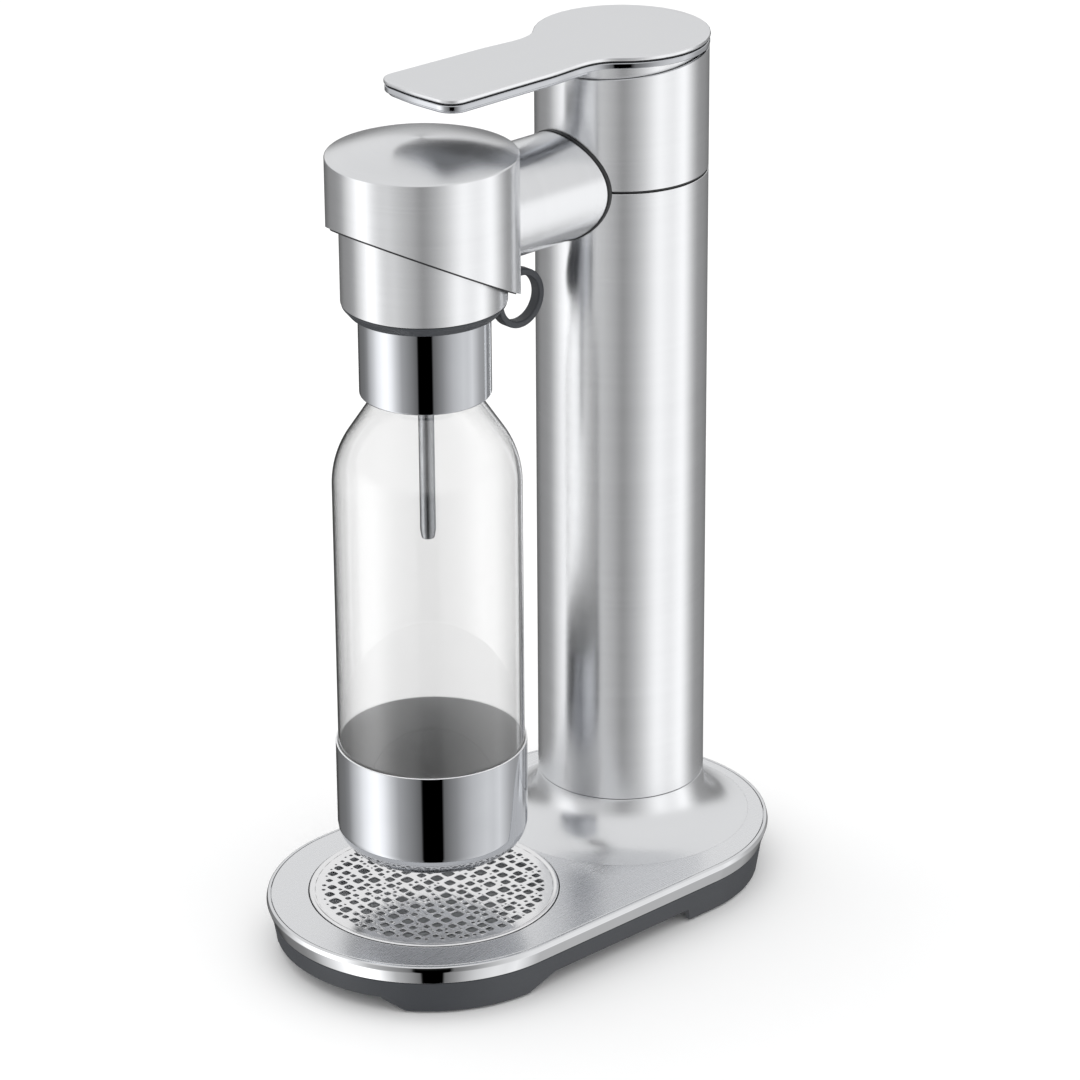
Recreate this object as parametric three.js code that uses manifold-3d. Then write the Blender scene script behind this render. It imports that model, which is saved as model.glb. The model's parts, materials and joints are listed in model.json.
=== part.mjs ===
// Countertop soda carbonator: a brushed metal tower on a flat base, with an arm that carries a round head.
// A bottle hangs from the head by its cap, over a drip tray. A lever on top of the tower opens the gas valve.
// Millimetres, +Z up. The origin is on the ground under the middle of the base, and the front faces -Y.
import * as THREE from "three";
import { mergeVertices } from "three/addons/utils/BufferGeometryUtils.js";
import Module from "manifold-3d";

const wasm = await Module();
wasm.setup();

// ---------- driving dimensions ----------
const GAP = 0.3; // between faces that touch on the real object
const SLIP = 0.5; // radial clearance where one piece slides or turns in another
const SHEET = 1.5; // thickness of the pressed metal covers
const SKIN = 1.2; // thickness of the drawn metal tubes

const BASE_R = 77.5; // radius of the base's round ends
const BASE_REACH = 57.3; // from the middle of the base to the centre of each round end
const BASE_TOP = 26.5;
const BAND_BOTTOM = 17;
const BAND_TAPER = 2.5; // how much the bright band and the skirt draw in towards the ground, each
const BAND_LIP = 2.3; // width of the band's rim around the cover
const FLOOR_Z = 9;
const FLOOR_THICK = 2.5;
const SKIRT_WALL = 3;
const SKIRT_BOTTOM = 1;
const ARCH_TOP = 7.5;
const ARCH_LEAN = 14; // how far an arch's ends slope in

const TOWER_Y = 65.5;
const TOWER_R = 39.7;
const TOWER_TOP = 411.5;
const FLARE_FOOT_R = 61.7;
const FLARE_R = FLARE_FOOT_R - TOWER_R; // the concave sweep from the base up into the tower
const FLARE_LIP = 1.5; // upright edge on top of the sweep
const SEAM_GAP = 1.2;

const FOOT_R = 7.5;
const FOOT_HIGH = 3.4;
const FRONT_FOOT = { x: 50, y: -80 };
const REAR_FOOT = { x: TOWER_R + 5.3, y: TOWER_Y + 26.5 };

const FRONT_Y = -55.5; // the shared axis of tray, bottle, cap and head
const TRAY_R = 58.4;
const TRAY_RIM = 5;
const TRAY_DEEP = 13;
const TRAY_PROUD = 0.8;
const HOLE_FIELD_R = 49;
const HOLE_PITCH = 12;
const HOLE_R = 4;

const ARM_Z = TOWER_TOP - 58;
const ARM_R = 25.2;
const ARM_CORE_R = 22;
const SEAM_Z = ARM_Z - 0.2;
const PIPE_R = 2.5;
const PIPE_Z = ARM_Z + 13.5;
const BOLT_R = 1.8;
const BOLT_SPREAD = 15;

const HEAD_R = 42.9;
const HEAD_RIM_Z = ARM_Z + 33.8;
const HEAD_DOME = 7.7;
const HEAD_CUT_Z = ARM_Z - 15.5; // height of the slanted lower edge on the head's axis
const HEAD_LEAN = 21.88; // how much the lower edge falls from the axis to the cover's back
const HEAD_SLOPE = HEAD_LEAN / HEAD_R;
const HEAD_FRAME_R = HEAD_R - 2;
const HEAD_FRAME_WALL = 1.8;
const HEAD_LINE = 0.9; // how far the inner frame's dark lower edge hangs out under the cover's

const CAP_R = HEAD_R - 5.7;
const CAP_BOTTOM = HEAD_CUT_Z - 18.2;
const CAP_RING_HIGH = 4.7;
const CAP_RISE = 6; // the cap's slanted top above the head's lower edge
const SPIGOT_R = 8.5;
const SPIGOT_TOP = HEAD_CUT_Z + 12;
const NOZZLE_R = 4;
const TUBE_R = 3.7;
const TUBE_BOTTOM = CAP_BOTTOM - 114.8;

const PULL_R = 14;
const PULL_THICK = 3.2;
const PULL_WIDE = 6;
const PULL_PIN = { y: CAP_R + 2.3, z: CAP_BOTTOM - 7.8 }; // from the cap's axis, and above the ground
const PULL_CENTRE = { y: CAP_R + 19, z: CAP_BOTTOM - 13.5 };
const POPPET_Y = CAP_R - 5; // from the cap's axis

const BOTTLE_R = 43;
const BOTTLE_WALL = 1.2;
const BOTTLE_BOTTOM = 54.5;
const NECK_R = 22;
const NECK_TOP = CAP_BOTTOM - 7.8;
const NECK_HIGH = 40; // from the top of the cone to the mouth
const SHOULDER_HIGH = 40; // from the straight wall to the top of the cone
const COLLAR_R = CAP_R - 7.5;
const COLLAR_BOTTOM = NECK_TOP - 36;
const CUP_BOTTOM = 52;
const CUP_TOP = 104.7;
const CUP_ROUND = 12;

const BLOCK_R = TOWER_R - 17.7;
const BLOCK_TOP = TOWER_TOP - 29;
const BLOCK_HIGH = 31;
const SHELF_Z = BLOCK_TOP - 9;
const SHELF_THICK = 4;
const FRAME_TOP = TOWER_TOP - 19;
const STEM_R = 10.3;
const STEM_TOP = BLOCK_TOP - 21;
const CYLINDER_R = TOWER_R - 9.7;
const CYLINDER_BOTTOM = 12.5;
const CYLINDER_SHOULDER = STEM_TOP - 55;
const CYLINDER_NECK_R = 12;
const CYLINDER_WALL = 3.5;
const CYLINDER_CROWN = 26; // height of the cylinder's domed shoulder
const CYLINDER_NECK_HIGH = 8.7;
const DOOR_R = CYLINDER_R + 6;
const PLUNGER_TOP = TOWER_TOP - 17;

const LEVER_PIVOT = { y: TOWER_R - 19.7, z: TOWER_TOP - 11 }; // from the tower's axis, and above the ground
const LEVER_PIN_R = 2.5;
const EAR_OUT = 0.4 * TOWER_R + 3.12; // half the width over the ears that hold the pin
const EAR_THICK = 6;
const LEVER_BOTTOM = TOWER_TOP + 0.5;
const LEVER_BODY_HIGH = 2.7;
const LEVER_SEAL_HIGH = 0.4;
const LEVER_COVER_HIGH = 2.2;
const LEVER_REACH = 125.5;
const LEVER_HALF = 24;
const LEVER_DROP_SLOPE = 0.102; // slope of the tower's top edge in front of the pivot

const BELOW = ARM_Z - 100; // cuts that go right through start here
const ABOVE = ARM_Z + 100; // and end here

const ROUND = 32; // sides of the large turned pieces
const SMALL = 12; // sides of the small turned pieces
const COIL_STEPS = 8; // steps in each turn of a spring

// ---------- finishes ----------
const finish = (color, metalness, roughness, opacity = 1) =>
  new THREE.MeshStandardMaterial({ color, metalness, roughness, opacity, transparent: opacity < 1 });

const BRUSHED = finish(0xc9cacc, 1, 0.34);
const SATIN = finish(0xc4c5c7, 1, 0.4);
const POLISHED = finish(0xe2e3e5, 1, 0.06);
const DARK_PLASTIC = finish(0x4a4e54, 0, 0.5);
const BLACK_PLASTIC = finish(0x26282b, 0, 0.55);
const RUBBER = finish(0x1b1c1e, 0, 0.85);
const CLEAR = finish(0xeef2f3, 0, 0.05, 0.3);
const BRASS = finish(0xb89a5a, 1, 0.35);
const STEEL = finish(0xa9abae, 1, 0.3);
const ALUMINIUM = finish(0xb4b6b9, 1, 0.45);
const CYLINDER_PAINT = finish(0x9aa0a6, 0.2, 0.4);

// ---------- making solids ----------
function signedVolume(points, triangles) {
  let sum = 0;
  for (let i = 0; i < triangles.length; i += 3) {
    const corner = [0, 1, 2].map((k) => new THREE.Vector3().fromArray(points, triangles[i + k] * 3));
    sum += corner[0].dot(corner[1].cross(corner[2]));
  }
  return sum;
}

// A closed three.js geometry as a manifold solid whose faces point out.
function toSolid(geometry) {
  const bare = geometry.index ? geometry.toNonIndexed() : geometry.clone();
  bare.deleteAttribute("normal");
  bare.deleteAttribute("uv");
  const merged = mergeVertices(bare, 1e-3);
  const points = merged.getAttribute("position").array;
  const index = merged.getIndex().array;
  const triangles = [];
  for (let i = 0; i < index.length; i += 3) {
    const [a, b, c] = index.slice(i, i + 3);
    if (a !== b && b !== c && c !== a) triangles.push(a, b, c);
  }
  if (signedVolume(points, triangles) < 0) triangles.reverse();
  const mesh = { numProp: 3, vertProperties: points, triVerts: new Uint32Array(triangles) };
  return new wasm.Manifold(new wasm.Mesh(mesh));
}

function toGeometry(solid) {
  const mesh = solid.getMesh();
  const geometry = new THREE.BufferGeometry();
  geometry.setAttribute("position", new THREE.BufferAttribute(mesh.vertProperties, 3));
  geometry.setIndex(new THREE.BufferAttribute(mesh.triVerts, 1));
  geometry.computeVertexNormals();
  return geometry;
}

const piece = (name, solid, material) => {
  const mesh = new THREE.Mesh(toGeometry(solid), material);
  mesh.name = name;
  return mesh;
};

// A profile of [radius, height] points turned about the Z axis; half a side of turn keeps the mirror planes.
function turnedGeometry(profile, sides) {
  const points = profile.map(([r, z]) => new THREE.Vector2(r, z));
  return new THREE.LatheGeometry(points, sides, Math.PI / sides).rotateX(Math.PI / 2);
}

const turned = (profile, sides = ROUND) => toSolid(turnedGeometry(profile, sides));

const closed = (profile) => [...profile, profile[0]];

const ring = (inner, outer, low, high, sides = ROUND) =>
  turned(closed([[inner, low], [outer, low], [outer, high], [inner, high]]), sides);

const disc = (radius, low, high, sides = ROUND) =>
  turned([[0, low], [radius, low], [radius, high], [0, high]], sides);

const moved = (geometry, x, y, z) => toSolid(geometry.clone().translate(x, y, z));

const discGeometry = (radius, low, high, sides) =>
  turnedGeometry([[0, low], [radius, low], [radius, high], [0, high]], sides);

const discAt = (radius, low, high, x, y, sides = SMALL) =>
  moved(discGeometry(radius, low, high, sides), x, y, 0);

// A turned shape pulled apart along Y, so that its two halves become the round ends of a long outline.
function stretched(profile) {
  const geometry = turnedGeometry(profile, ROUND);
  const position = geometry.getAttribute("position");
  for (let i = 0; i < position.count; i++) {
    const y = position.getY(i);
    if (Math.abs(y) > 1e-6) position.setY(i, y + Math.sign(y) * BASE_REACH);
  }
  return toSolid(geometry);
}

function block(low, high) {
  const size = high.map((value, k) => value - low[k]);
  const centre = high.map((value, k) => (value + low[k]) / 2);
  return toSolid(new THREE.BoxGeometry(...size).translate(...centre));
}

// A round bar along Y, between two places on it, at a side offset and a height.
const barY = (radius, from, to, x, z, sides = SMALL) =>
  moved(discGeometry(radius, -to, -from, sides).rotateX(Math.PI / 2), x, 0, z);

const barX = (radius, half, y, z, sides = SMALL) =>
  moved(discGeometry(radius, -half, half, sides).rotateY(Math.PI / 2), 0, y, z);

const tubeY = (inner, outer, from, to, x, z, sides = SMALL) =>
  barY(outer, from, to, x, z, sides).subtract(barY(inner, from - 1, to + 1, x, z, sides));

// An outline in the X-Y plane made into a plate.
function plate(shape, low, high, steps = 8) {
  const options = { depth: high - low, bevelEnabled: false, curveSegments: steps };
  return toSolid(new THREE.ExtrudeGeometry(shape, options).translate(0, 0, low));
}

// An outline of [y, z] points carried along X from -half to +half.
function prismX(points, half) {
  const shape = new THREE.Shape(points.map(([y, z]) => new THREE.Vector2(y, z)));
  const geometry = new THREE.ExtrudeGeometry(shape, { depth: 2 * half, bevelEnabled: false });
  geometry.translate(0, 0, -half);
  geometry.applyMatrix4(new THREE.Matrix4().set(0, 0, 1, 0, 1, 0, 0, 0, 0, 1, 0, 0, 0, 0, 0, 1));
  return toSolid(geometry);
}

// An outline of [x, z] points carried along Y between two places.
function prismY(points, from, to) {
  const shape = new THREE.Shape(points.map(([x, z]) => new THREE.Vector2(x, z)));
  const geometry = new THREE.ExtrudeGeometry(shape, { depth: to - from, bevelEnabled: false });
  geometry.applyMatrix4(new THREE.Matrix4().set(1, 0, 0, 0, 0, 0, 1, from, 0, 1, 0, 0, 0, 0, 0, 1));
  return toSolid(geometry);
}

// A coil spring standing on Z, of round wire, from its lowest to its highest face.
function coil(radius, wire, low, high, turns) {
  const path = [];
  const steps = turns * COIL_STEPS;
  for (let i = 0; i <= steps; i++) {
    const angle = (i / COIL_STEPS) * 2 * Math.PI;
    const z = low + wire + ((high - low - 2 * wire) * i) / steps;
    path.push(new THREE.Vector3(radius * Math.cos(angle), radius * Math.sin(angle), z));
  }
  const section = new THREE.Shape().absarc(0, 0, wire, 0, 2 * Math.PI);
  const extrudePath = new THREE.CatmullRomCurve3(path);
  const options = { steps, extrudePath, curveSegments: 2, bevelEnabled: false };
  return toSolid(new THREE.ExtrudeGeometry(section, options));
}

function arc(centreR, centreZ, radius, from, to, steps) {
  const points = [];
  for (let i = 0; i <= steps; i++) {
    const angle = THREE.MathUtils.degToRad(from + ((to - from) * i) / steps);
    points.push([centreR + radius * Math.cos(angle), centreZ + radius * Math.sin(angle)]);
  }
  return points;
}

const joined = (first, ...others) => others.reduce((sum, next) => sum.add(next), first);
const without = (first, ...others) => others.reduce((rest, next) => rest.subtract(next), first);
const both = (sides, make) => sides.map(make);

function group(y, ...children) {
  const result = new THREE.Group();
  result.position.y = y;
  result.add(...children.flat());
  return result;
}

// ---------- sizes that follow from the driving ones ----------
const coverR = BASE_R - BAND_LIP;
const coverLow = BASE_TOP - SHEET;
const floorTop = FLOOR_Z + FLOOR_THICK;
const skirtTopR = BASE_R - BAND_TAPER - 0.1;
const skirtLowR = skirtTopR - BAND_TAPER;
const flareTop = BASE_TOP + FLARE_R + FLARE_LIP;
const tubeInner = TOWER_R - SKIN;
const frameOuter = tubeInner - SLIP - GAP;
const frameInner = frameOuter - 4.5;
const armSocketR = ARM_CORE_R + 0.6;
const cylinderNeckTop = CYLINDER_SHOULDER + CYLINDER_CROWN + CYLINDER_NECK_HIGH;
const boltHeadR = BOLT_R * 1.9;
const boltHeadHigh = 3;
const boltSeat = Math.sqrt(frameInner ** 2 - (BOLT_SPREAD + boltHeadR) ** 2) - 2 * GAP;
const slantZ = (y, lift) => HEAD_CUT_Z + lift - HEAD_SLOPE * y;
const collarTop = CAP_BOTTOM - 2.5; // of the bottle's bright collar
const tubeTop = CAP_BOTTOM + 2.2;
const traySeat = BASE_TOP - SHEET - 1;

// Everything below the head's slanted lower edge, raised by a lift.
function belowSlant(lift) {
  const reach = HEAD_R + 20;
  return prismX(
    [[-reach, slantZ(-reach, lift)], [reach, slantZ(reach, lift)], [reach, BELOW], [-reach, BELOW]],
    reach,
  );
}

// Everything above it.
function aboveSlant(lift) {
  const reach = HEAD_R + 20;
  return prismX(
    [[-reach, slantZ(-reach, lift)], [reach, slantZ(reach, lift)], [reach, ABOVE], [-reach, ABOVE]],
    reach,
  );
}

// ---------- base ----------
function baseCover() {
  const sweepOut = arc(TOWER_R + FLARE_R, BASE_TOP + FLARE_R, FLARE_R, 180, 270, 5);
  const sweepIn = arc(TOWER_R + FLARE_R, BASE_TOP + FLARE_R, FLARE_R + SHEET, 270, 180, 5);
  const lip = [[TOWER_R - SHEET, flareTop], [TOWER_R, flareTop]];
  const sweep = moved(turnedGeometry(closed([...lip, ...sweepOut, ...sweepIn]), ROUND), 0, TOWER_Y, 0);
  const top = stretched([[0, coverLow], [coverR, coverLow], [coverR, BASE_TOP], [0, BASE_TOP]]);
  const underTower = moved(discGeometry(TOWER_R + FLARE_R - 0.3, 0, 60, ROUND), 0, TOWER_Y, 0);
  const trayHole = moved(discGeometry(TRAY_R + SLIP, 0, 60, ROUND), 0, FRONT_Y, 0);
  return without(top, underTower, trayHole).add(sweep);
}

function baseTrim() {
  const inner = coverR + GAP;
  const shelf = skirtTopR - SKIRT_WALL + 1;
  return stretched(
    closed([
      [shelf, BAND_BOTTOM], [BASE_R - BAND_TAPER, BAND_BOTTOM], [BASE_R, BASE_TOP - 2.5],
      [BASE_R - 0.7, BASE_TOP - 0.3], [inner, BASE_TOP - 0.1], [inner, coverLow - GAP],
      [shelf, coverLow - GAP],
    ]),
  );
}

// A low arch through the skirt, as an outline that widens towards the ground.
const archOutline = (from, to, lead, trail) =>
  [[from, -1], [to, -1], [to - trail, ARCH_TOP], [from + lead, ARCH_TOP]];

function baseChassis() {
  const wallTop = BAND_BOTTOM - GAP;
  const necking = skirtTopR - SKIRT_WALL + 0.6;
  const shell = stretched([
    [0, FLOOR_Z], [skirtLowR - SKIRT_WALL, FLOOR_Z], [skirtLowR - SKIRT_WALL, SKIRT_BOTTOM],
    [skirtLowR, SKIRT_BOTTOM], [skirtTopR, wallTop], [necking, wallTop], [necking, coverLow - 2 * GAP],
    [necking - SKIRT_WALL, coverLow - 2 * GAP], [necking - SKIRT_WALL, floorTop], [0, floorTop],
  ]);
  const pods = feet().map(({ x, y }) => discAt(FOOT_R + 2, 2, FLOOR_Z + 1, x, y));
  const sockets = feet().map(({ x, y }) => discAt(FOOT_R + GAP, 0, FOOT_HIGH + GAP, x, y));
  const end = BASE_REACH + BASE_R;
  const frontArch = prismY(archOutline(-50, 50, ARCH_LEAN, ARCH_LEAN), -end, -BASE_REACH - 30);
  const rearArch = prismY(archOutline(-30, 30, 4, 4), BASE_REACH + 30, end);
  const sideArches = prismX(archOutline(-70, 43, 24, 3), BASE_R + 5);
  const bay = moved(discGeometry(CYLINDER_R + 2.5, 0, 60, ROUND), 0, TOWER_Y, 0);
  const screwHoles = screwPlaces().map(({ x, y }) => discAt(BOLT_R + GAP, 0, 60, x, y));
  const solid = joined(without(shell, frontArch, rearArch, sideArches), ...pods);
  return without(solid, ...sockets, ...screwHoles, bay);
}

const feet = () => [
  { name: "foot_front_left", x: -FRONT_FOOT.x, y: FRONT_FOOT.y },
  { name: "foot_front_right", x: FRONT_FOOT.x, y: FRONT_FOOT.y },
  { name: "foot_rear_left", x: -REAR_FOOT.x, y: REAR_FOOT.y },
  { name: "foot_rear_right", x: REAR_FOOT.x, y: REAR_FOOT.y },
];

const screwPlaces = () => {
  const reach = (frameOuter + 4.6) * Math.SQRT1_2;
  return [1, 3, 5, 7].map((eighth, i) => {
    const angle = (eighth * Math.PI) / 4;
    return {
      name: `frame_screw_${i + 1}`,
      x: Math.sign(Math.cos(angle)) * reach,
      y: TOWER_Y + Math.sign(Math.sin(angle)) * reach,
    };
  });
};

const screw = ({ x, y }) => {
  const head = discAt(boltHeadR, FLOOR_Z - GAP - 2, FLOOR_Z - GAP, x, y, 12);
  return head.add(discAt(BOLT_R, FLOOR_Z - 1, floorTop + 4.5, x, y, 12));
};

// The twist-off cover under the gas cylinder, with a bar to grip.
function cylinderDoor() {
  const hub = CYLINDER_R + 2.5 - SLIP;
  const top = CYLINDER_BOTTOM - 1.2;
  const lid = turned([
    [0, 5.2], [DOOR_R, 5.2], [DOOR_R, FLOOR_Z - GAP], [hub, FLOOR_Z - GAP], [hub, top], [0, top],
  ]);
  return lid.add(block([-DOOR_R + 8, -4, 2], [DOOR_R - 8, 4, 6]));
}

// ---------- drip tray ----------
function dripBowl() {
  const outer = TRAY_R - 2.5;
  const low = traySeat - TRAY_DEEP + 2;
  return turned([
    [0, low], [outer - 3, low], [outer, low + 3], [outer, traySeat - GAP], [TRAY_R, traySeat - GAP],
    [TRAY_R, traySeat + 0.9], [outer - SHEET, traySeat + 0.9], [outer - SHEET, low + 3.6],
    [outer - 3.6, low + SHEET], [0, low + SHEET],
  ]);
}

// A field of small rounded drain holes on rings, each turned a little from the one before.
function drainHoles() {
  const holes = [];
  for (let ringNo = 1; ringNo * HOLE_PITCH <= HOLE_FIELD_R; ringNo++) {
    const count = Math.round(ringNo * 5.2);
    for (let i = 0; i < count; i++) {
      const angle = ((i + 0.37 * ringNo) / count) * 2 * Math.PI;
      const size = HOLE_R * (0.78 + 0.22 * Math.sin(2.4 * i + ringNo));
      const reach = ringNo * HOLE_PITCH;
      holes.push(discAt(size, 0, 60, reach * Math.cos(angle), reach * Math.sin(angle), 4));
    }
  }
  return holes;
}

function dripGrille() {
  const low = traySeat + 0.9 + GAP;
  const rim = BASE_TOP + TRAY_PROUD;
  const dish = rim - 1.1;
  const solid = turned([
    [0, dish - SKIN], [TRAY_R - TRAY_RIM - 2.6, dish - SKIN], [TRAY_R - TRAY_RIM, low], [TRAY_R - 0.6, low],
    [TRAY_R, low + 0.6], [TRAY_R, rim - 0.7], [TRAY_R - 0.9, rim], [TRAY_R - TRAY_RIM + 1.4, rim],
    [TRAY_R - TRAY_RIM - 1.2, dish], [0, dish],
  ]);
  return without(solid, ...drainHoles());
}

// ---------- tower ----------
const armHole = (radius) => barY(radius, -80, 0, 0, ARM_Z, 24);

function towerTube(low, high) {
  return ring(tubeInner, TOWER_R, low, high).subtract(armHole(armSocketR));
}

// The tower's top edge is level behind the lever's pivot. It slopes down in front, so the lever can tip.
function towerUpperTube() {
  const reach = 60;
  const front = TOWER_TOP - (LEVER_PIVOT.y + reach) * LEVER_DROP_SLOPE;
  const wedge = prismX([[-reach, front], [LEVER_PIVOT.y, TOWER_TOP], [-reach, TOWER_TOP + 5]], reach);
  return towerTube(SEAM_Z + SEAM_GAP, TOWER_TOP).subtract(wedge);
}

function seamRing() {
  const solid = ring(frameOuter + GAP, TOWER_R - 0.6, SEAM_Z + GAP, SEAM_Z + SEAM_GAP - GAP);
  return solid.subtract(armHole(armSocketR));
}

// The moulded inner frame: a tube on a foot flange, with a shelf for the valve block.
function towerFrame() {
  const foot = floorTop + GAP;
  const flange = frameOuter + 9;
  const solid = turned(
    closed([
      [frameInner, foot], [flange, foot], [flange, foot + 4], [frameOuter, foot + 4], [frameOuter, FRAME_TOP],
      [frameInner, FRAME_TOP], [frameInner, SHELF_Z + SHELF_THICK], [BLOCK_R + 1, SHELF_Z + SHELF_THICK],
      [BLOCK_R + 1, SHELF_Z], [frameInner, SHELF_Z],
    ]),
  );
  const screwHoles = screwPlaces().map(({ x, y }) => discAt(BOLT_R + GAP, 0, foot + 6, x, y - TOWER_Y));
  const pipeHole = barY(PIPE_R + 0.7, -60, 0, 0, PIPE_Z);
  const bolts = both([-1, 1], (side) => barY(BOLT_R + GAP, -60, 0, side * BOLT_SPREAD, ARM_Z));
  return without(solid, ...screwHoles, pipeHole, ...bolts);
}

// The cylinder's outside or, with a wall, its inside: a rounded foot, a straight wall, a dome and a neck.
function cylinderOutline(wall) {
  const neck = CYLINDER_NECK_R - wall;
  const straight = CYLINDER_R - wall;
  const low = CYLINDER_BOTTOM + wall;
  const shoulder = arc(0, 0, 1, 0, 90, 4).map(([across, up]) => [
    neck + (straight - neck) * across,
    CYLINDER_SHOULDER + (CYLINDER_CROWN - wall) * up,
  ]);
  return [[0, low], [straight - 3, low], [straight, low + 3], ...shoulder, [neck, cylinderNeckTop]];
}

function gasCylinder() {
  return turned([...cylinderOutline(0), ...cylinderOutline(CYLINDER_WALL).reverse()]);
}

function cylinderValve() {
  const low = cylinderNeckTop + GAP;
  const body = disc(15, low, low + 9.5, 6);
  const stem = disc(STEM_R, low + 9, STEM_TOP, 24);
  return body.add(stem).subtract(disc(2.6, STEM_TOP - 4, STEM_TOP + 5, 12));
}

function valveBlock() {
  const collarR = BLOCK_R + 8;
  const collarLow = SHELF_Z + SHELF_THICK + GAP;
  const solid = turned([
    [0, BLOCK_TOP - BLOCK_HIGH], [BLOCK_R, BLOCK_TOP - BLOCK_HIGH], [BLOCK_R, collarLow],
    [collarR, collarLow], [collarR, BLOCK_TOP - 1], [collarR - 2, BLOCK_TOP], [0, BLOCK_TOP],
  ]);
  const stemBore = disc(STEM_R + SLIP, BELOW, STEM_TOP + 0.4, 24);
  const rodBore = disc(2.2, BELOW, ABOVE, 12);
  const springBore = disc(6, SHELF_Z, ABOVE, SMALL);
  const port = barY(PIPE_R + 0.7, -30, 0, 0, PIPE_Z);
  return without(solid, stemBore, rodBore, springBore, port);
}

function valvePlunger() {
  const button = disc(5.2, PLUNGER_TOP - 3, PLUNGER_TOP, SMALL);
  return button.add(disc(1.8, STEM_TOP + 1, PLUNGER_TOP - 1, 12));
}

const plungerSpring = () => coil(4.3, 0.7, SHELF_Z + GAP, PLUNGER_TOP - 3 - GAP, 4);

function safetyValve() {
  const hexagon = barY(4, BLOCK_R + GAP, BLOCK_R + 6, 0, PIPE_Z + 2, 12);
  return hexagon.add(barY(2.6, BLOCK_R + 5, BLOCK_R + 9, 0, PIPE_Z + 2, 12));
}

function pipeNut(from, to) {
  const nut = barY(5.6, from, to, 0, PIPE_Z, 6);
  return nut.subtract(barY(PIPE_R + GAP, from - 1, to + 1, 0, PIPE_Z, 12));
}

// A bolt along Y: its head is at `from`, and its shank ends at `to`.
function boltY(x, from, to) {
  const way = Math.sign(to - from);
  const [a, b] = [from, from + boltHeadHigh * way].sort((p, q) => p - q);
  const [c, d] = [from + way, to].sort((p, q) => p - q);
  return barY(boltHeadR, a, b, x, ARM_Z, 12).add(barY(BOLT_R, c, d, x, ARM_Z, 12));
}

// ---------- lever ----------
// The lever's outline: a disc over the tower and a paddle that reaches forward over the head.
function leverShape(inset) {
  const r = TOWER_R - inset;
  const half = LEVER_HALF - inset;
  const tip = -LEVER_REACH + inset;
  const corner = 7;
  const join = r * Math.SQRT1_2;
  const shape = new THREE.Shape();
  shape.absarc(0, 0, r, -Math.PI / 4, (5 * Math.PI) / 4, false);
  shape.bezierCurveTo(-join + 4, -join - 4, -half, -join - 18, -half, -join - 34);
  shape.lineTo(-half, tip + corner);
  shape.quadraticCurveTo(-half, tip, -half + corner, tip);
  shape.lineTo(half - corner, tip);
  shape.quadraticCurveTo(half, tip, half, tip + corner);
  shape.lineTo(half, -join - 34);
  shape.bezierCurveTo(half, -join - 18, join - 4, -join - 4, join, -join);
  return shape;
}

const leverBodyTop = LEVER_BOTTOM + LEVER_BODY_HIGH;
const leverSealLow = leverBodyTop + 0.2;
const leverCoverLow = leverSealLow + LEVER_SEAL_HIGH + 0.2;

function leverBody() {
  const top = plate(leverShape(0.3), LEVER_BOTTOM, leverBodyTop);
  const paddle = plate(leverShape(1.2), LEVER_BOTTOM - 1.5, LEVER_BOTTOM + 1);
  const paddleOnly = block([-60, -200, BELOW], [60, -TOWER_R - 1.5, ABOVE]);
  const skirtR = tubeInner - 0.7;
  const skirt = ring(skirtR - 1.6, skirtR, LEVER_BOTTOM - 10, LEVER_BOTTOM + 1);
  const half = EAR_OUT - EAR_THICK - 1;
  const boss = block([-half, LEVER_PIVOT.y - 4, LEVER_PIVOT.z], [half, LEVER_PIVOT.y + 4, LEVER_BOTTOM + 1]);
  const eye = barX(4, half, LEVER_PIVOT.y, LEVER_PIVOT.z, SMALL);
  const pusher = block([-4, -1.5, PLUNGER_TOP + GAP], [4, 1.5, LEVER_BOTTOM + 1]);
  const solid = joined(top, paddle.intersect(paddleOnly), skirt, boss, eye, pusher);
  return solid.subtract(barX(LEVER_PIN_R + 0.15, 40, LEVER_PIVOT.y, LEVER_PIVOT.z, SMALL));
}

const leverSeal = () => plate(leverShape(1.2), leverSealLow, leverSealLow + LEVER_SEAL_HIGH);

function leverCover() {
  const top = leverCoverLow + LEVER_COVER_HIGH;
  const lower = plate(leverShape(0), leverCoverLow, top - 0.8);
  return lower.add(plate(leverShape(0.8), top - 1, top));
}

// The carrier that holds the lever's pin between two ears.
function leverYoke() {
  const base = ring(12, frameInner - SLIP, BLOCK_TOP + GAP, BLOCK_TOP + 4);
  const ears = both([-1, 1], (side) => {
    const [a, b] = [side * (EAR_OUT - EAR_THICK), side * EAR_OUT].sort((p, q) => p - q);
    return block([a, LEVER_PIVOT.y - 6, BLOCK_TOP + 2], [b, LEVER_PIVOT.y + 6, LEVER_PIVOT.z + 5]);
  });
  return joined(base, ...ears).subtract(barX(LEVER_PIN_R + 0.15, 40, LEVER_PIVOT.y, LEVER_PIVOT.z, SMALL));
}

// ---------- arm, from the tower's axis ----------
const headAxis = FRONT_Y - TOWER_Y;
const aroundHead = (radius) => moved(discGeometry(radius, BELOW, ABOVE, ROUND), 0, headAxis, 0);
const aroundTower = (radius) => disc(radius, BELOW, ABOVE);

function armTube() {
  const sleeve = tubeY(ARM_R - SKIN, ARM_R, headAxis, 0, 0, ARM_Z, 24);
  return without(sleeve, aroundHead(HEAD_R + GAP), aroundTower(TOWER_R + 1.8));
}

function armGasket() {
  const sleeve = tubeY(ARM_R - 2.3, ARM_R + 0.8, -TOWER_R - 20, 0, 0, ARM_Z, 24);
  return sleeve.intersect(ring(TOWER_R + GAP, TOWER_R + 1.5, BELOW, ABOVE));
}

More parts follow.
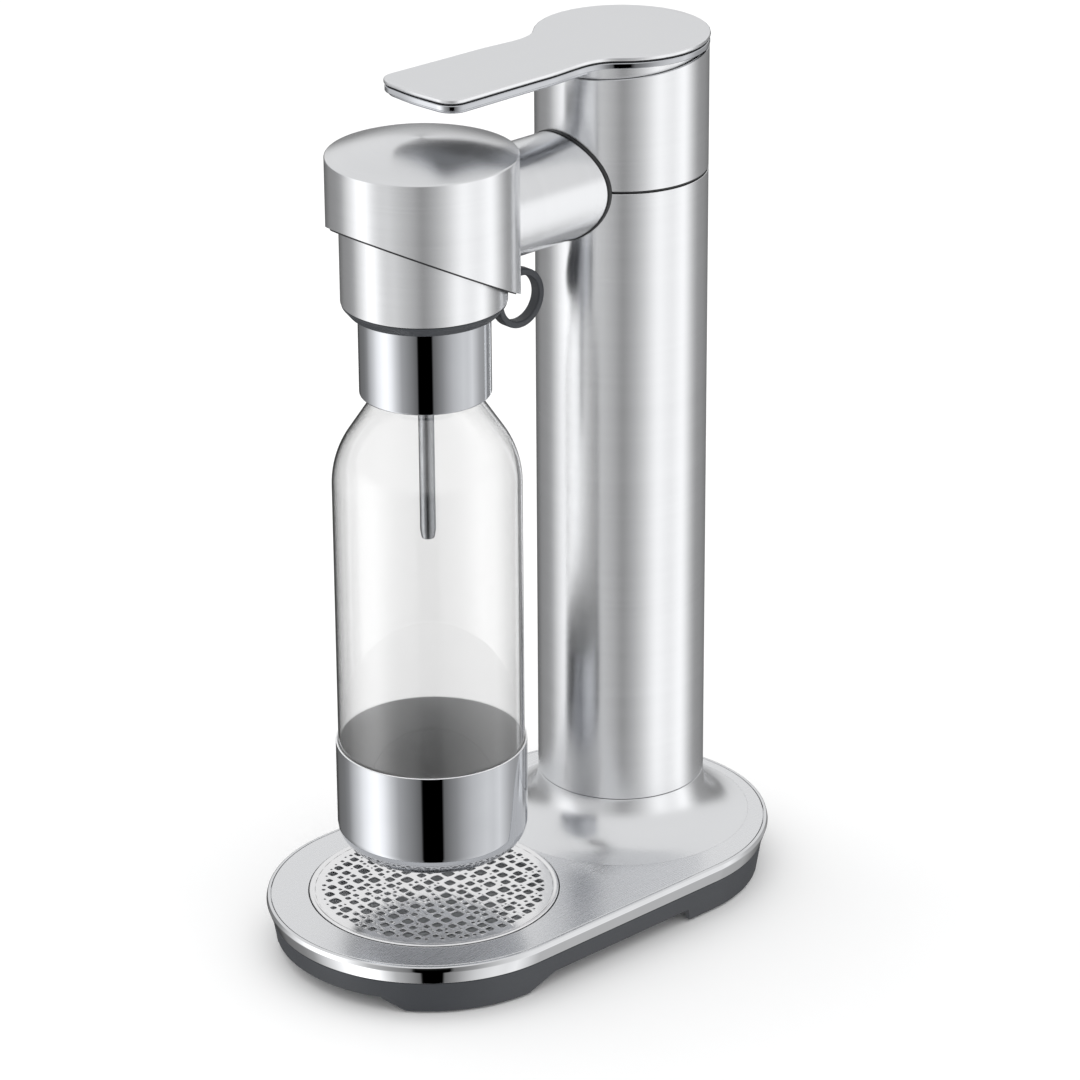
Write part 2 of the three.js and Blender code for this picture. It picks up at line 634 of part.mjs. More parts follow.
function armCore() {
  const bar = barY(ARM_CORE_R, headAxis, 0, 0, ARM_Z, 24);
  const pipeBore = barY(PIPE_R + 0.7, headAxis - 10, 10, 0, PIPE_Z);
  const lightening = barY(9, headAxis - 10, 10, 0, ARM_Z - 6);
  const bolts = both([-1, 1], (side) => barY(BOLT_R + GAP, headAxis - 10, 10, side * BOLT_SPREAD, ARM_Z, 12));
  const ends = [aroundHead(HEAD_FRAME_R + GAP), aroundTower(frameOuter + GAP)];
  return without(bar, ...ends, pipeBore, lightening, ...bolts);
}

// ---------- head, from its own axis ----------
function headCover() {
  const bulge = (HEAD_R * HEAD_R + HEAD_DOME * HEAD_DOME) / (2 * HEAD_DOME); // radius of the shallow dome
  const domeZ = (r, drop) => HEAD_RIM_Z + HEAD_DOME - drop - (bulge - Math.sqrt(bulge * bulge - r * r));
  const inner = HEAD_R - SHEET;
  const rims = [1, 0.7, 0.35];
  const outside = rims.map((part) => [part * (HEAD_R - 1.2), domeZ(part * (HEAD_R - 1.2), 0)]);
  const inside = rims.map((part) => [part * inner, domeZ(part * inner, SHEET)]).reverse();
  const shell = turned([
    [0, HEAD_RIM_Z + HEAD_DOME - SHEET], ...inside, [inner, BELOW], [HEAD_R, BELOW],
    [HEAD_R, HEAD_RIM_Z - 0.9],
    ...outside, [0, HEAD_RIM_Z + HEAD_DOME],
  ]);
  return without(shell, belowSlant(0), barY(armSocketR, 0, 60, 0, ARM_Z, 24));
}

// The dark frame inside the head: a wall, a slanted deck over the cap, and a socket for the cap's spigot.
function headFrame() {
  const wall = ring(HEAD_FRAME_R - HEAD_FRAME_WALL, HEAD_FRAME_R, BELOW, HEAD_RIM_Z - 7.3);
  const deckLift = CAP_RISE + 3;
  const slab = disc(HEAD_FRAME_R - 1, BELOW, ABOVE).intersect(aboveSlant(deckLift));
  const deck = without(slab, aboveSlant(deckLift + 3));
  const socketR = SPIGOT_R + 1.5;
  const boss = disc(socketR + 3, BELOW, SPIGOT_TOP + 8, 24).intersect(aboveSlant(deckLift));
  const socket = disc(socketR, BELOW, SPIGOT_TOP + 3.5, 24);
  const nozzleBore = disc(NOZZLE_R + GAP, BELOW, ABOVE, SMALL);
  const backHoles = both([-1, 1], (side) => barY(BOLT_R + GAP, 0, 60, side * BOLT_SPREAD, ARM_Z, 12));
  const pipeHole = barY(PIPE_R + 0.7, 0, 60, 0, PIPE_Z);
  const solid = joined(wall, deck, boss);
  return without(solid, belowSlant(-HEAD_LINE), socket, nozzleBore, pipeHole, ...backHoles);
}

function gasNozzle() {
  const head = disc(6.5, SPIGOT_TOP + 8 + GAP, PIPE_Z + 6, SMALL);
  const stem = disc(NOZZLE_R, SPIGOT_TOP - 12, SPIGOT_TOP + 9, SMALL);
  const bore = disc(1.2, BELOW, PIPE_Z + 1, 10);
  return without(head.add(stem), bore, barY(1.2, 0, 20, 0, PIPE_Z, 10));
}

// ---------- cap, from its own axis ----------
function capBody() {
  return ring(CAP_R - SHEET, CAP_R, CAP_BOTTOM, ABOVE).subtract(aboveSlant(CAP_RISE));
}

function capRing() {
  const low = CAP_BOTTOM - GAP - CAP_RING_HIGH;
  const solid = turned(
    closed([
      [COLLAR_R + SLIP, low], [CAP_R - 3.6, low], [CAP_R - 0.4, CAP_BOTTOM - GAP - 0.8],
      [CAP_R - 0.4, CAP_BOTTOM - GAP], [COLLAR_R + SLIP, CAP_BOTTOM - GAP],
    ]),
  );
  const ears = both([-1, 1], (side) => {
    const [a, b] = [side * 3.6, side * 6].sort((p, q) => p - q);
    return block([a, CAP_R - 2.7, PULL_PIN.z - 2.4], [b, PULL_PIN.y + 2.2, CAP_BOTTOM - GAP]);
  });
  const clear = block([-10, CAP_R + 0.8, PULL_PIN.z + 2.6], [10, CAP_R + 20, CAP_BOTTOM + 2]);
  const pinHole = barX(1.35, 10, PULL_PIN.y, PULL_PIN.z, 12);
  return without(joined(solid, ...ears), clear, pinHole, discAt(1.7, BELOW, ABOVE, 0, POPPET_Y, 12));
}

// The moulded core: it grips the bottle's neck, holds the tube and carries the gas spigot.
function capCore() {
  const inner = CAP_R - SHEET - GAP;
  const deck = CAP_BOTTOM + 10.2;
  const solid = turned([
    [0, NECK_TOP + 2.6], [NECK_R + 0.6, NECK_TOP + 2.6], [NECK_R + 0.6, NECK_TOP - 14],
    [NECK_R + 4.5, NECK_TOP - 14],
    [NECK_R + 4.5, collarTop + GAP], [COLLAR_R, collarTop + GAP], [COLLAR_R, CAP_BOTTOM + GAP],
    [inner, CAP_BOTTOM + GAP], [inner, deck], [SPIGOT_R + 4.5, deck], [SPIGOT_R, deck + 3],
    [SPIGOT_R, SPIGOT_TOP], [0, SPIGOT_TOP],
  ]);
  const nozzleBore = disc(NOZZLE_R + 0.6, SPIGOT_TOP - 16, ABOVE, SMALL);
  const gasBore = disc(1.6, BELOW, ABOVE, 10);
  const tubeSocket = disc(TUBE_R + GAP, BELOW, tubeTop + GAP, SMALL);
  const springPocket = discAt(2.9, tubeTop, ABOVE, 0, POPPET_Y, 12);
  const rodBore = discAt(1.7, BELOW, ABOVE, 0, POPPET_Y, 12);
  return without(solid, aboveSlantCore(), nozzleBore, gasBore, tubeSocket, springPocket, rodBore);
}

// The rear of the core's deck is trimmed by the cap's slanted top; the spigot is left whole.
const aboveSlantCore = () => ring(SPIGOT_R + 4, CAP_R + 20, BELOW, ABOVE).intersect(aboveSlant(CAP_RISE - 1));

const checkValve = () => ring(1, NOZZLE_R + 0.2, SPIGOT_TOP - 15.7, SPIGOT_TOP - 13.2, SMALL);

const nozzleSeal = () => ring(NOZZLE_R + GAP, SPIGOT_R, SPIGOT_TOP + GAP, SPIGOT_TOP + 2, SMALL);

const carbonatingTube = () =>
  turned(closed([[2.4, TUBE_BOTTOM], [TUBE_R, TUBE_BOTTOM + 5], [TUBE_R, tubeTop], [2.2, tubeTop]]), SMALL);

const bottleSeal = () => ring(TUBE_R + 12, NECK_R, NECK_TOP + GAP, NECK_TOP + 2.3, 32);

function pullRing() {
  const { y, z } = PULL_CENTRE;
  const half = PULL_WIDE / 2;
  const loop = barX(PULL_R, half, y, z, 20).subtract(barX(PULL_R - PULL_THICK, 20, y, z, 20));
  const knuckle = barX(2.4, half, PULL_PIN.y, PULL_PIN.z, 14);
  const stem = block([-half, PULL_PIN.y, PULL_PIN.z - 2.4], [half, y - PULL_R + 2.2, PULL_PIN.z + 0.6]);
  const nose = block([-half, POPPET_Y - 2.4, PULL_PIN.z - 1.6], [half, PULL_PIN.y, PULL_PIN.z + 0.4]);
  const slot = block([-1.6, 0, BELOW], [1.6, POPPET_Y + 1.8, ABOVE]);
  const solid = joined(loop, knuckle, stem, nose);
  return without(solid, slot, barX(1.35, 10, PULL_PIN.y, PULL_PIN.z, 12));
}

const pullPin = () => barX(1.2, 6.4, PULL_PIN.y, PULL_PIN.z, 12);

function reliefPoppet() {
  const top = tubeTop + 5.5;
  const low = PULL_PIN.z - 3.8;
  const rod = discAt(1.3, low + 0.8, top - 0.5, 0, POPPET_Y, 12);
  const head = discAt(2.4, top - 2, top, 0, POPPET_Y, 12);
  return joined(rod, head, discAt(2, low, low + 1.6, 0, POPPET_Y, 12));
}

// ---------- bottle, from its own axis ----------
function bottleOutside() {
  const coneTop = NECK_TOP - NECK_HIGH;
  const shoulder = coneTop - SHOULDER_HIGH;
  const sweep = THREE.MathUtils.radToDeg(Math.asin((0.6 * SHOULDER_HIGH) / BOTTLE_R));
  return [
    [BOTTLE_R - 12, BOTTLE_BOTTOM], [BOTTLE_R - 4, BOTTLE_BOTTOM + 3.5], [BOTTLE_R, BOTTLE_BOTTOM + 12],
    ...arc(0, shoulder, BOTTLE_R, 0, sweep, 3), [NECK_R + 2.4, coneTop], [NECK_R, coneTop + 6],
  ];
}

function bottleBody() {
  const outside = bottleOutside();
  const inside = outside.map(([r, z]) => [r - BOTTLE_WALL, z]).reverse();
  inside[inside.length - 1][1] += BOTTLE_WALL;
  const punt = [0, BOTTLE_BOTTOM + 5];
  return turned([
    punt, ...outside, [NECK_R, NECK_TOP], [NECK_R - 2, NECK_TOP], [NECK_R - 2, NECK_TOP - NECK_HIGH + 6],
    ...inside, [0, BOTTLE_BOTTOM + 5 + BOTTLE_WALL],
  ]);
}

function bottleCollar() {
  const inner = COLLAR_R - 1.3;
  return turned(
    closed([
      [NECK_R + 4, COLLAR_BOTTOM], [COLLAR_R - 0.8, COLLAR_BOTTOM], [COLLAR_R, COLLAR_BOTTOM + 0.8],
      [COLLAR_R, collarTop], [inner, collarTop], [inner, COLLAR_BOTTOM + 1.5],
      [NECK_R + 4, COLLAR_BOTTOM + 1.5],
    ]),
  );
}

function bottleCup() {
  const inner = BOTTLE_R + GAP;
  const outer = inner + 0.9;
  const outRound = arc(outer - CUP_ROUND, CUP_BOTTOM + CUP_ROUND, CUP_ROUND, -90, 0, 3);
  const inRound = arc(inner - CUP_ROUND + 1, CUP_BOTTOM + CUP_ROUND, CUP_ROUND - 1, 0, -90, 3);
  const rim = [[outer, CUP_TOP], [inner, CUP_TOP]];
  return turned([[0, CUP_BOTTOM], ...outRound, ...rim, ...inRound, [0, CUP_BOTTOM + 1]]);
}

// ---------- the object ----------
const towerParts = group(
  TOWER_Y,
  piece("cylinder_door", cylinderDoor(), DARK_PLASTIC),
  piece("tower_frame", towerFrame(), BLACK_PLASTIC),
  piece("tower_tube_lower", towerTube(flareTop + GAP, SEAM_Z), BRUSHED),
  piece("tower_tube_upper", towerUpperTube(), BRUSHED),
  piece("tower_seam_ring", seamRing(), BLACK_PLASTIC),
  piece("gas_cylinder", gasCylinder(), CYLINDER_PAINT),
  piece("cylinder_valve", cylinderValve(), BRASS),
  piece("valve_block", valveBlock(), ALUMINIUM),
  piece("valve_plunger", valvePlunger(), STEEL),
  piece("plunger_spring", plungerSpring(), STEEL),
  piece("safety_valve", safetyValve(), BRASS),
  piece("pipe_nut_tower", pipeNut(-BLOCK_R - 7, -BLOCK_R - GAP), BRASS),
  piece("lever_yoke", leverYoke(), ALUMINIUM),
  piece("lever_pin", barX(LEVER_PIN_R, EAR_OUT + 0.5, LEVER_PIVOT.y, LEVER_PIVOT.z, SMALL), STEEL),
  piece("lever_body", leverBody(), POLISHED),
  piece("lever_seal", leverSeal(), BLACK_PLASTIC),
  piece("lever_cover", leverCover(), SATIN),
  piece("arm_tube", armTube(), BRUSHED),
  piece("arm_gasket", armGasket(), BLACK_PLASTIC),
  piece("arm_core", armCore(), ALUMINIUM),
  piece("gas_pipe", tubeY(1.3, PIPE_R, headAxis + 7, -BLOCK_R - GAP, 0, PIPE_Z, 10), STEEL),
  both([-1, 1], (side) =>
    piece(
      side < 0 ? "arm_bolt_left" : "arm_bolt_right",
      boltY(side * BOLT_SPREAD, boltHeadHigh - boltSeat, -frameOuter - 14),
      STEEL,
    ),
  ),
);

const headParts = group(
  FRONT_Y,
  piece("head_cover", headCover(), BRUSHED),
  piece("head_frame", headFrame(), BLACK_PLASTIC),
  piece("gas_nozzle", gasNozzle(), BRASS),
  piece("nozzle_seal", nozzleSeal(), RUBBER),
  piece("pipe_nut_head", pipeNut(6.8, 14), BRASS),
);

const capParts = group(
  FRONT_Y,
  piece("cap_body", capBody(), BRUSHED),
  piece("cap_ring", capRing(), DARK_PLASTIC),
  piece("cap_core", capCore(), BLACK_PLASTIC),
  piece("check_valve", checkValve(), RUBBER),
  piece("carbonating_tube", carbonatingTube(), STEEL),
  piece("bottle_seal", bottleSeal(), RUBBER),
  piece("ring_pull", pullRing(), DARK_PLASTIC),
  piece("ring_pull_pin", pullPin(), STEEL),
  piece("relief_poppet", reliefPoppet(), STEEL),
);

const reliefSpring = piece("relief_spring", coil(2.1, 0.4, tubeTop + GAP, tubeTop + 3.2, 3), STEEL);
reliefSpring.position.y = POPPET_Y;
capParts.add(reliefSpring);

const bottleParts = group(
  FRONT_Y,
  piece("bottle_body", bottleBody(), CLEAR),
  piece("bottle_collar", bottleCollar(), POLISHED),
  piece("bottle_cup", bottleCup(), POLISHED),
);

const trayParts = group(
  FRONT_Y,
  piece("drip_bowl", dripBowl(), DARK_PLASTIC),
  piece("drip_grille", dripGrille(), POLISHED),
);

const baseParts = group(
  0,
  piece("base_cover", baseCover(), BRUSHED),
  piece("base_trim", baseTrim(), POLISHED),
  piece("base_chassis", baseChassis(), DARK_PLASTIC),
  feet().map(({ name, x, y }) => piece(name, discAt(FOOT_R, 0, FOOT_HIGH, x, y), RUBBER)),
  screwPlaces().map((place) => piece(place.name, screw(place), STEEL)),
);

export default group(0, baseParts, trayParts, towerParts, headParts, capParts, bottleParts);
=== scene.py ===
"""Looks of a countertop soda carbonator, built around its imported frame.

The metal covers, the mouldings, the clear bottle, the drain plate and the two springs are modelled again
as smooth pieces. The other workings keep their frame nodes and get a finish. Sizes are in millimetres until
a piece is made.
"""

import json
import logging
import math
import random
from abc import ABC, abstractmethod
from dataclasses import dataclass, field
from enum import Enum
from typing import Any, Callable, Iterable, Mapping, Sequence

import bmesh
import bpy
from mathutils import Matrix, Vector

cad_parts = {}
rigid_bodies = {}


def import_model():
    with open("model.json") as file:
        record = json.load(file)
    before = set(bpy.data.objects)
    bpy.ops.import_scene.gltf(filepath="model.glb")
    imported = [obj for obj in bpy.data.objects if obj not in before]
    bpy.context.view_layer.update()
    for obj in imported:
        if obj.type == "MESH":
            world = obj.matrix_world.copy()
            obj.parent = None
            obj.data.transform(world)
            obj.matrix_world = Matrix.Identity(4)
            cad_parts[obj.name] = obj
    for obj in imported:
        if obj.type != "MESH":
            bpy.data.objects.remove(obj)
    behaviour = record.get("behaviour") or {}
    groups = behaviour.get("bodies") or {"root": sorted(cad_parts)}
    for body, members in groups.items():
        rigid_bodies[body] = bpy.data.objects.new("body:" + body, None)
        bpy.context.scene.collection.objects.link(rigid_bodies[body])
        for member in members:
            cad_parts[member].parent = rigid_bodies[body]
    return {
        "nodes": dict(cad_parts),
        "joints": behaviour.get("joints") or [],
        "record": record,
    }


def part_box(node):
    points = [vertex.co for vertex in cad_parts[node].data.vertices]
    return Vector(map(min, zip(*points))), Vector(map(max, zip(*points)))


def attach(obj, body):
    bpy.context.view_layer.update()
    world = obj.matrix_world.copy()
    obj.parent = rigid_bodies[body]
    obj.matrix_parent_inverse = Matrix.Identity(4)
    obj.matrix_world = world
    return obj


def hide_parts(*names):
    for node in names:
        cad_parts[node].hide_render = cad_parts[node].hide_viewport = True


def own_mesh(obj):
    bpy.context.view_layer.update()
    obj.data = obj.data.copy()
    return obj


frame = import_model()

log = logging.getLogger("carbonator")

MM = 0.001
TAU = 2 * math.pi
PLATE_STEPS = 256  # round the base and the tray
TURN_STEPS = 192
SOCKET_STEPS = 96
SMALL_STEPS = 48
ROUND_STEPS = 5  # along a rounded corner
SHARP = math.radians(32)  # edges that bend more than this stay sharp
KNOT_REACH = 0.5523  # handle length that makes a quarter circle of radius 1
CLEAR = 5.0  # how far a cutter reaches past what it cuts
TOWER_R = 39.7
HEAD_R = 42.9
HEAD_SLOPE = 0.51  # fall of the head's lower edge for each millimetre towards the tower
SOCKET_R = 22.6  # hole for the arm's core

BMesh = bmesh.types.BMesh
Point = tuple[float, float, float]
Knot = tuple[Point, Point, Point]  # a curve's point between its two handles
Stops = tuple[tuple[float, float], ...]  # brightness at angles in degrees, from the camera to its right


# ---------- frame sizes ----------
def node_box(node: str) -> tuple[Vector, Vector]:
    """Find where a frame node is.

    Args:
        node: The node's name.

    Returns:
        Its lowest and highest corners in millimetres.
    """
    low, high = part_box(node)
    return low / MM, high / MM


def centre(node: str) -> Point:
    """Return the middle of a frame node's box, in millimetres."""
    return tuple((a + b) / 2 for a, b in zip(*node_box(node)))


TOWER_Y = centre("tower_tube_lower")[1]
FRONT_Y = centre("bottle_body")[1]


# ---------- shaping ----------
@dataclass(frozen=True)
class Corner:
    """A corner of a turned outline: its distance from the axis, its height and its rounding radius."""

    r: float
    z: float
    ease: float = 0.0


class Carve(Enum):
    """What one solid does to another."""

    CUT = "DIFFERENCE"
    KEEP = "INTERSECT"
    JOIN = "UNION"


def outline(corners: Sequence[Corner], loop: bool = True) -> BMesh:
    """Draw an outline in the X-Z plane and round its corners.

    Args:
        corners: The corners in order.
        loop: Whether the last corner joins the first.

    Returns:
        A mesh of edges.
    """
    shape = bmesh.new()
    verts = [shape.verts.new((c.r, 0.0, c.z)) for c in corners]
    for pair in zip(verts, verts[1:]):
        shape.edges.new(pair)
    if loop:
        shape.edges.new((verts[-1], verts[0]))
    for vert, corner in zip(verts, corners):
        if corner.ease <= 0:
            continue
        ways = [(e.other_vert(vert).co - vert.co).normalized() for e in vert.link_edges]
        bend = math.pi - ways[0].angle(ways[1])
        bmesh.ops.bevel(
            shape,
            geom=[vert],
            offset=corner.ease * math.tan(bend / 2),
            offset_type="OFFSET",
            segments=ROUND_STEPS,
            profile=0.5,
            affect="VERTICES",
            material=-1,
        )
    return shape


def section(inner: float, outer: float, low: float, high: float, ease: float = 0.0) -> list[Corner]:
    """Return the corners of a plain ring's section, the outer ones rounded."""
    return [Corner(inner, low), Corner(outer, low, ease), Corner(outer, high, ease), Corner(inner, high)]


def turn(corners: Sequence[Corner], steps: int = TURN_STEPS, loop: bool = True, y: float = 0.0) -> BMesh:
    """Turn an outline once round the Z axis.

    Args:
        corners: The outline, which starts and ends on the axis if it isn't a loop.
        steps: Steps in the full turn.
        loop: Whether the outline closes on itself.
        y: Where the axis stands.

    Returns:
        A closed solid.
    """
    shape = outline(corners, loop)
    half_step = Matrix.Rotation(math.pi / steps, 3, "Z")
    bmesh.ops.rotate(shape, verts=shape.verts, cent=(0, 0, 0), matrix=half_step)
    bmesh.ops.spin(
        shape,
        geom=shape.verts[:] + shape.edges[:],
        cent=(0, 0, 0),
        axis=(0, 0, 1),
        dvec=(0, 0, 0),
        angle=TAU,
        steps=steps,
        use_merge=True,
        use_normal_flip=False,
        use_duplicate=False,
    )
    bmesh.ops.remove_doubles(shape, verts=shape.verts, dist=1e-4)
    bmesh.ops.recalc_face_normals(shape, faces=shape.faces)
    return shifted(shape, 0, y, 0)


def shifted(shape: BMesh, x: float, y: float, z: float) -> BMesh:
    """Move a whole shape and return it."""
    bmesh.ops.translate(shape, verts=shape.verts, vec=(x, y, z))
    return shape


def tipped(shape: BMesh, angle: float, axis: str) -> BMesh:
    """Turn a whole shape about an axis through the origin, by an angle in degrees, and return it."""
    bmesh.ops.rotate(
        shape, verts=shape.verts, cent=(0, 0, 0), matrix=Matrix.Rotation(math.radians(angle), 3, axis)
    )
    return shape


def pulled_apart(shape: BMesh, reach: float) -> BMesh:
    """Pull a turned shape apart along Y, so that its halves become the round ends of a long outline."""
    for side in (-1, 1):
        half = [v for v in shape.verts if v.co.y * side > 0]
        bmesh.ops.translate(shape, verts=half, vec=(0, side * reach, 0))
    return shape


def bar(
    radius: float, start: float, end: float, axis: str, steps: int = SMALL_STEPS, ease: float = 0.0
) -> BMesh:
    """Make a round bar along an axis through the origin.

    Args:
        radius: Its radius.
        start: Its first end along the axis.
        end: Its other end.
        axis: "X", "Y" or "Z".
        steps: Steps round it.
        ease: The radius that rounds its edges.

    Returns:
        A closed solid.
    """
    shape = turn(section(0, radius, start, end, ease), steps, loop=False)
    if axis == "X":
        return tipped(shape, 90, "Y")
    if axis == "Y":
        return tipped(shape, -90, "X")
    return shape


def prism(points: Sequence[tuple[float, float]], low: float, high: float, axis: str) -> BMesh:
    """Carry an outline along X or Y.

    Args:
        points: Pairs of (y, z) for X, or of (x, z) for Y.
        low: Where it starts along the axis.
        high: Where it ends.
        axis: "X" or "Y".

    Returns:
        A closed solid.
    """
    shape = bmesh.new()
    place = (lambda a, b: (low, a, b)) if axis == "X" else (lambda a, b: (a, low, b))
    face = shape.faces.new([shape.verts.new(place(a, b)) for a, b in points])
    grown = bmesh.ops.extrude_face_region(shape, geom=[face])["geom"]
    way = (high - low, 0, 0) if axis == "X" else (0, high - low, 0)
    bmesh.ops.translate(shape, verts=[g for g in grown if isinstance(g, bmesh.types.BMVert)], vec=way)
    bmesh.ops.recalc_face_normals(shape, faces=shape.faces)
    return shape


def block(low: Point, high: Point, ease: float = 0.0) -> BMesh:
    """Make a box between two corners, with its edges rounded to a radius."""
    shape = bmesh.new()
    bmesh.ops.create_cube(shape, size=1.0)
    size = [b - a for a, b in zip(low, high)]
    bmesh.ops.scale(shape, verts=shape.verts, vec=size)
    shifted(shape, *[(a + b) / 2 for a, b in zip(low, high)])
    if ease > 0:
        bmesh.ops.bevel(
            shape,
            geom=shape.edges[:],
            offset=ease,
            offset_type="OFFSET",
            segments=3,
            profile=0.5,
            affect="EDGES",
            material=-1,
        )
    return shape


def as_object(shape: BMesh, name: str) -> bpy.types.Object:
    """Put a shape into the scene as a new object and free the shape."""
    mesh = bpy.data.meshes.new(name)
    shape.to_mesh(mesh)
    shape.free()
    made = bpy.data.objects.new(name, mesh)
    bpy.context.scene.collection.objects.link(made)
    return made


def carve(solid: BMesh, *others: BMesh, how: Carve = Carve.CUT) -> BMesh:
    """Cut, keep or join solids.

    Args:
        solid: The solid that is worked on.
        others: The solids that it meets, one after the other.
        how: What they do to it.

    Returns:
        The finished solid. The ones given are used up.
    """
    for other in others:
        work, tool = as_object(solid, "work"), as_object(other, "tool")
        step = work.modifiers.new("carve", "BOOLEAN")
        step.operation = how.value
        step.solver = "EXACT"
        step.object = tool
        solid = bmesh.new()
        solid.from_object(work, bpy.context.evaluated_depsgraph_get())
        for used in (work, tool):
            mesh = used.data
            bpy.data.objects.remove(used)
            bpy.data.meshes.remove(mesh)
    bmesh.ops.remove_doubles(solid, verts=solid.verts, dist=1e-4)
    return solid


def flat_plate(loops: Sequence[Sequence[Knot]], thick: float, ease: float) -> BMesh:
    """Make a plate with rounded edges from smooth closed loops; a loop inside another is a hole.

    Args:
        loops: Each loop as (handle before, point, handle after).
        thick: The plate's thickness. Its middle is at height 0.
        ease: The radius that rounds its edges.

    Returns:
        A closed solid.
    """
    curve = bpy.data.curves.new("loops", "CURVE")
    curve.dimensions = "2D"
    curve.fill_mode = "BOTH"
    curve.extrude = thick / 2 - ease
    curve.bevel_depth = ease
    curve.bevel_resolution = 2
    curve.offset = -ease
    curve.resolution_u = 10
    for loop in loops:
        spline = curve.splines.new("BEZIER")
        spline.bezier_points.add(len(loop) - 1)
        spline.use_cyclic_u = True
        for knot, (before, point, after) in zip(spline.bezier_points, loop):
            knot.handle_left, knot.co, knot.handle_right = before, point, after
    made = bpy.data.objects.new("loops", curve)
    bpy.context.scene.collection.objects.link(made)
    shape = bmesh.new()
    mesh = made.evaluated_get(bpy.context.evaluated_depsgraph_get()).to_mesh()
    shape.from_mesh(mesh)
    bpy.data.objects.remove(made)
    bpy.data.curves.remove(curve)
    bmesh.ops.remove_doubles(shape, verts=shape.verts, dist=1e-4)
    bmesh.ops.recalc_face_normals(shape, faces=shape.faces)
    return shape


# ---------- finishes ----------
def linear(colour: str) -> tuple[float, float, float, float]:
    """Turn an sRGB hex colour such as "c9cacc" into linear red, green, blue and alpha."""
    parts = [int(colour[i : i + 2], 16) / 255 for i in (0, 2, 4)]
    return (*[p / 12.92 if p <= 0.04045 else ((p + 0.055) / 1.055) ** 2.4 for p in parts], 1.0)


def shaded(colour: str, factor: float) -> tuple[float, float, float, float]:
    """Return an sRGB hex colour as linear, made darker or lighter by a factor."""
    red, green, blue, _ = linear(colour)
    return (red * factor, green * factor, blue * factor, 1.0)


def add_node(
    tree: bpy.types.NodeTree, kind: str, inputs: Mapping[str | int, Any] | None = None, **settings: Any
) -> bpy.types.Node:
    """Add a node with its settings and links.

    Args:
        tree: The node tree.
        kind: The node's type name.
        inputs: Values of its input sockets; a socket given here is linked.
        settings: Values of the node's own attributes.

    Returns:
        The node.
    """
    node = tree.nodes.new(kind)
    for key, value in settings.items():
        setattr(node, key, value)
    for key, value in (inputs or {}).items():
        if isinstance(value, bpy.types.NodeSocket):
            tree.links.new(value, node.inputs[key])
        else:
            node.inputs[key].default_value = value
    return node


@dataclass(frozen=True)
class Finish(ABC):
    """A surface finish, made once and shared by the pieces that have it."""

    name: str

    def material(self) -> bpy.types.Material:
        """Return the finish as a material, made the first time it is asked for."""
        known = bpy.data.materials.get(self.name)
        if known:
            return known
        made = bpy.data.materials.new(self.name)
        made.use_nodes = True
        made.node_tree.nodes.clear()
        surface = self.surface(made.node_tree)
        add_node(made.node_tree, "ShaderNodeOutputMaterial", {"Surface": surface})
        return made

    @abstractmethod
    def surface(self, tree: bpy.types.NodeTree) -> bpy.types.NodeSocket:
        """Build the shader in a tree and return its output socket."""


class Grain(Enum):
    """The way that a metal surface was worked."""

    TURNED_UPRIGHT = "round an upright axis"
    TURNED_LEVEL = "round a level axis"
    STRAIGHT = "in straight lines"


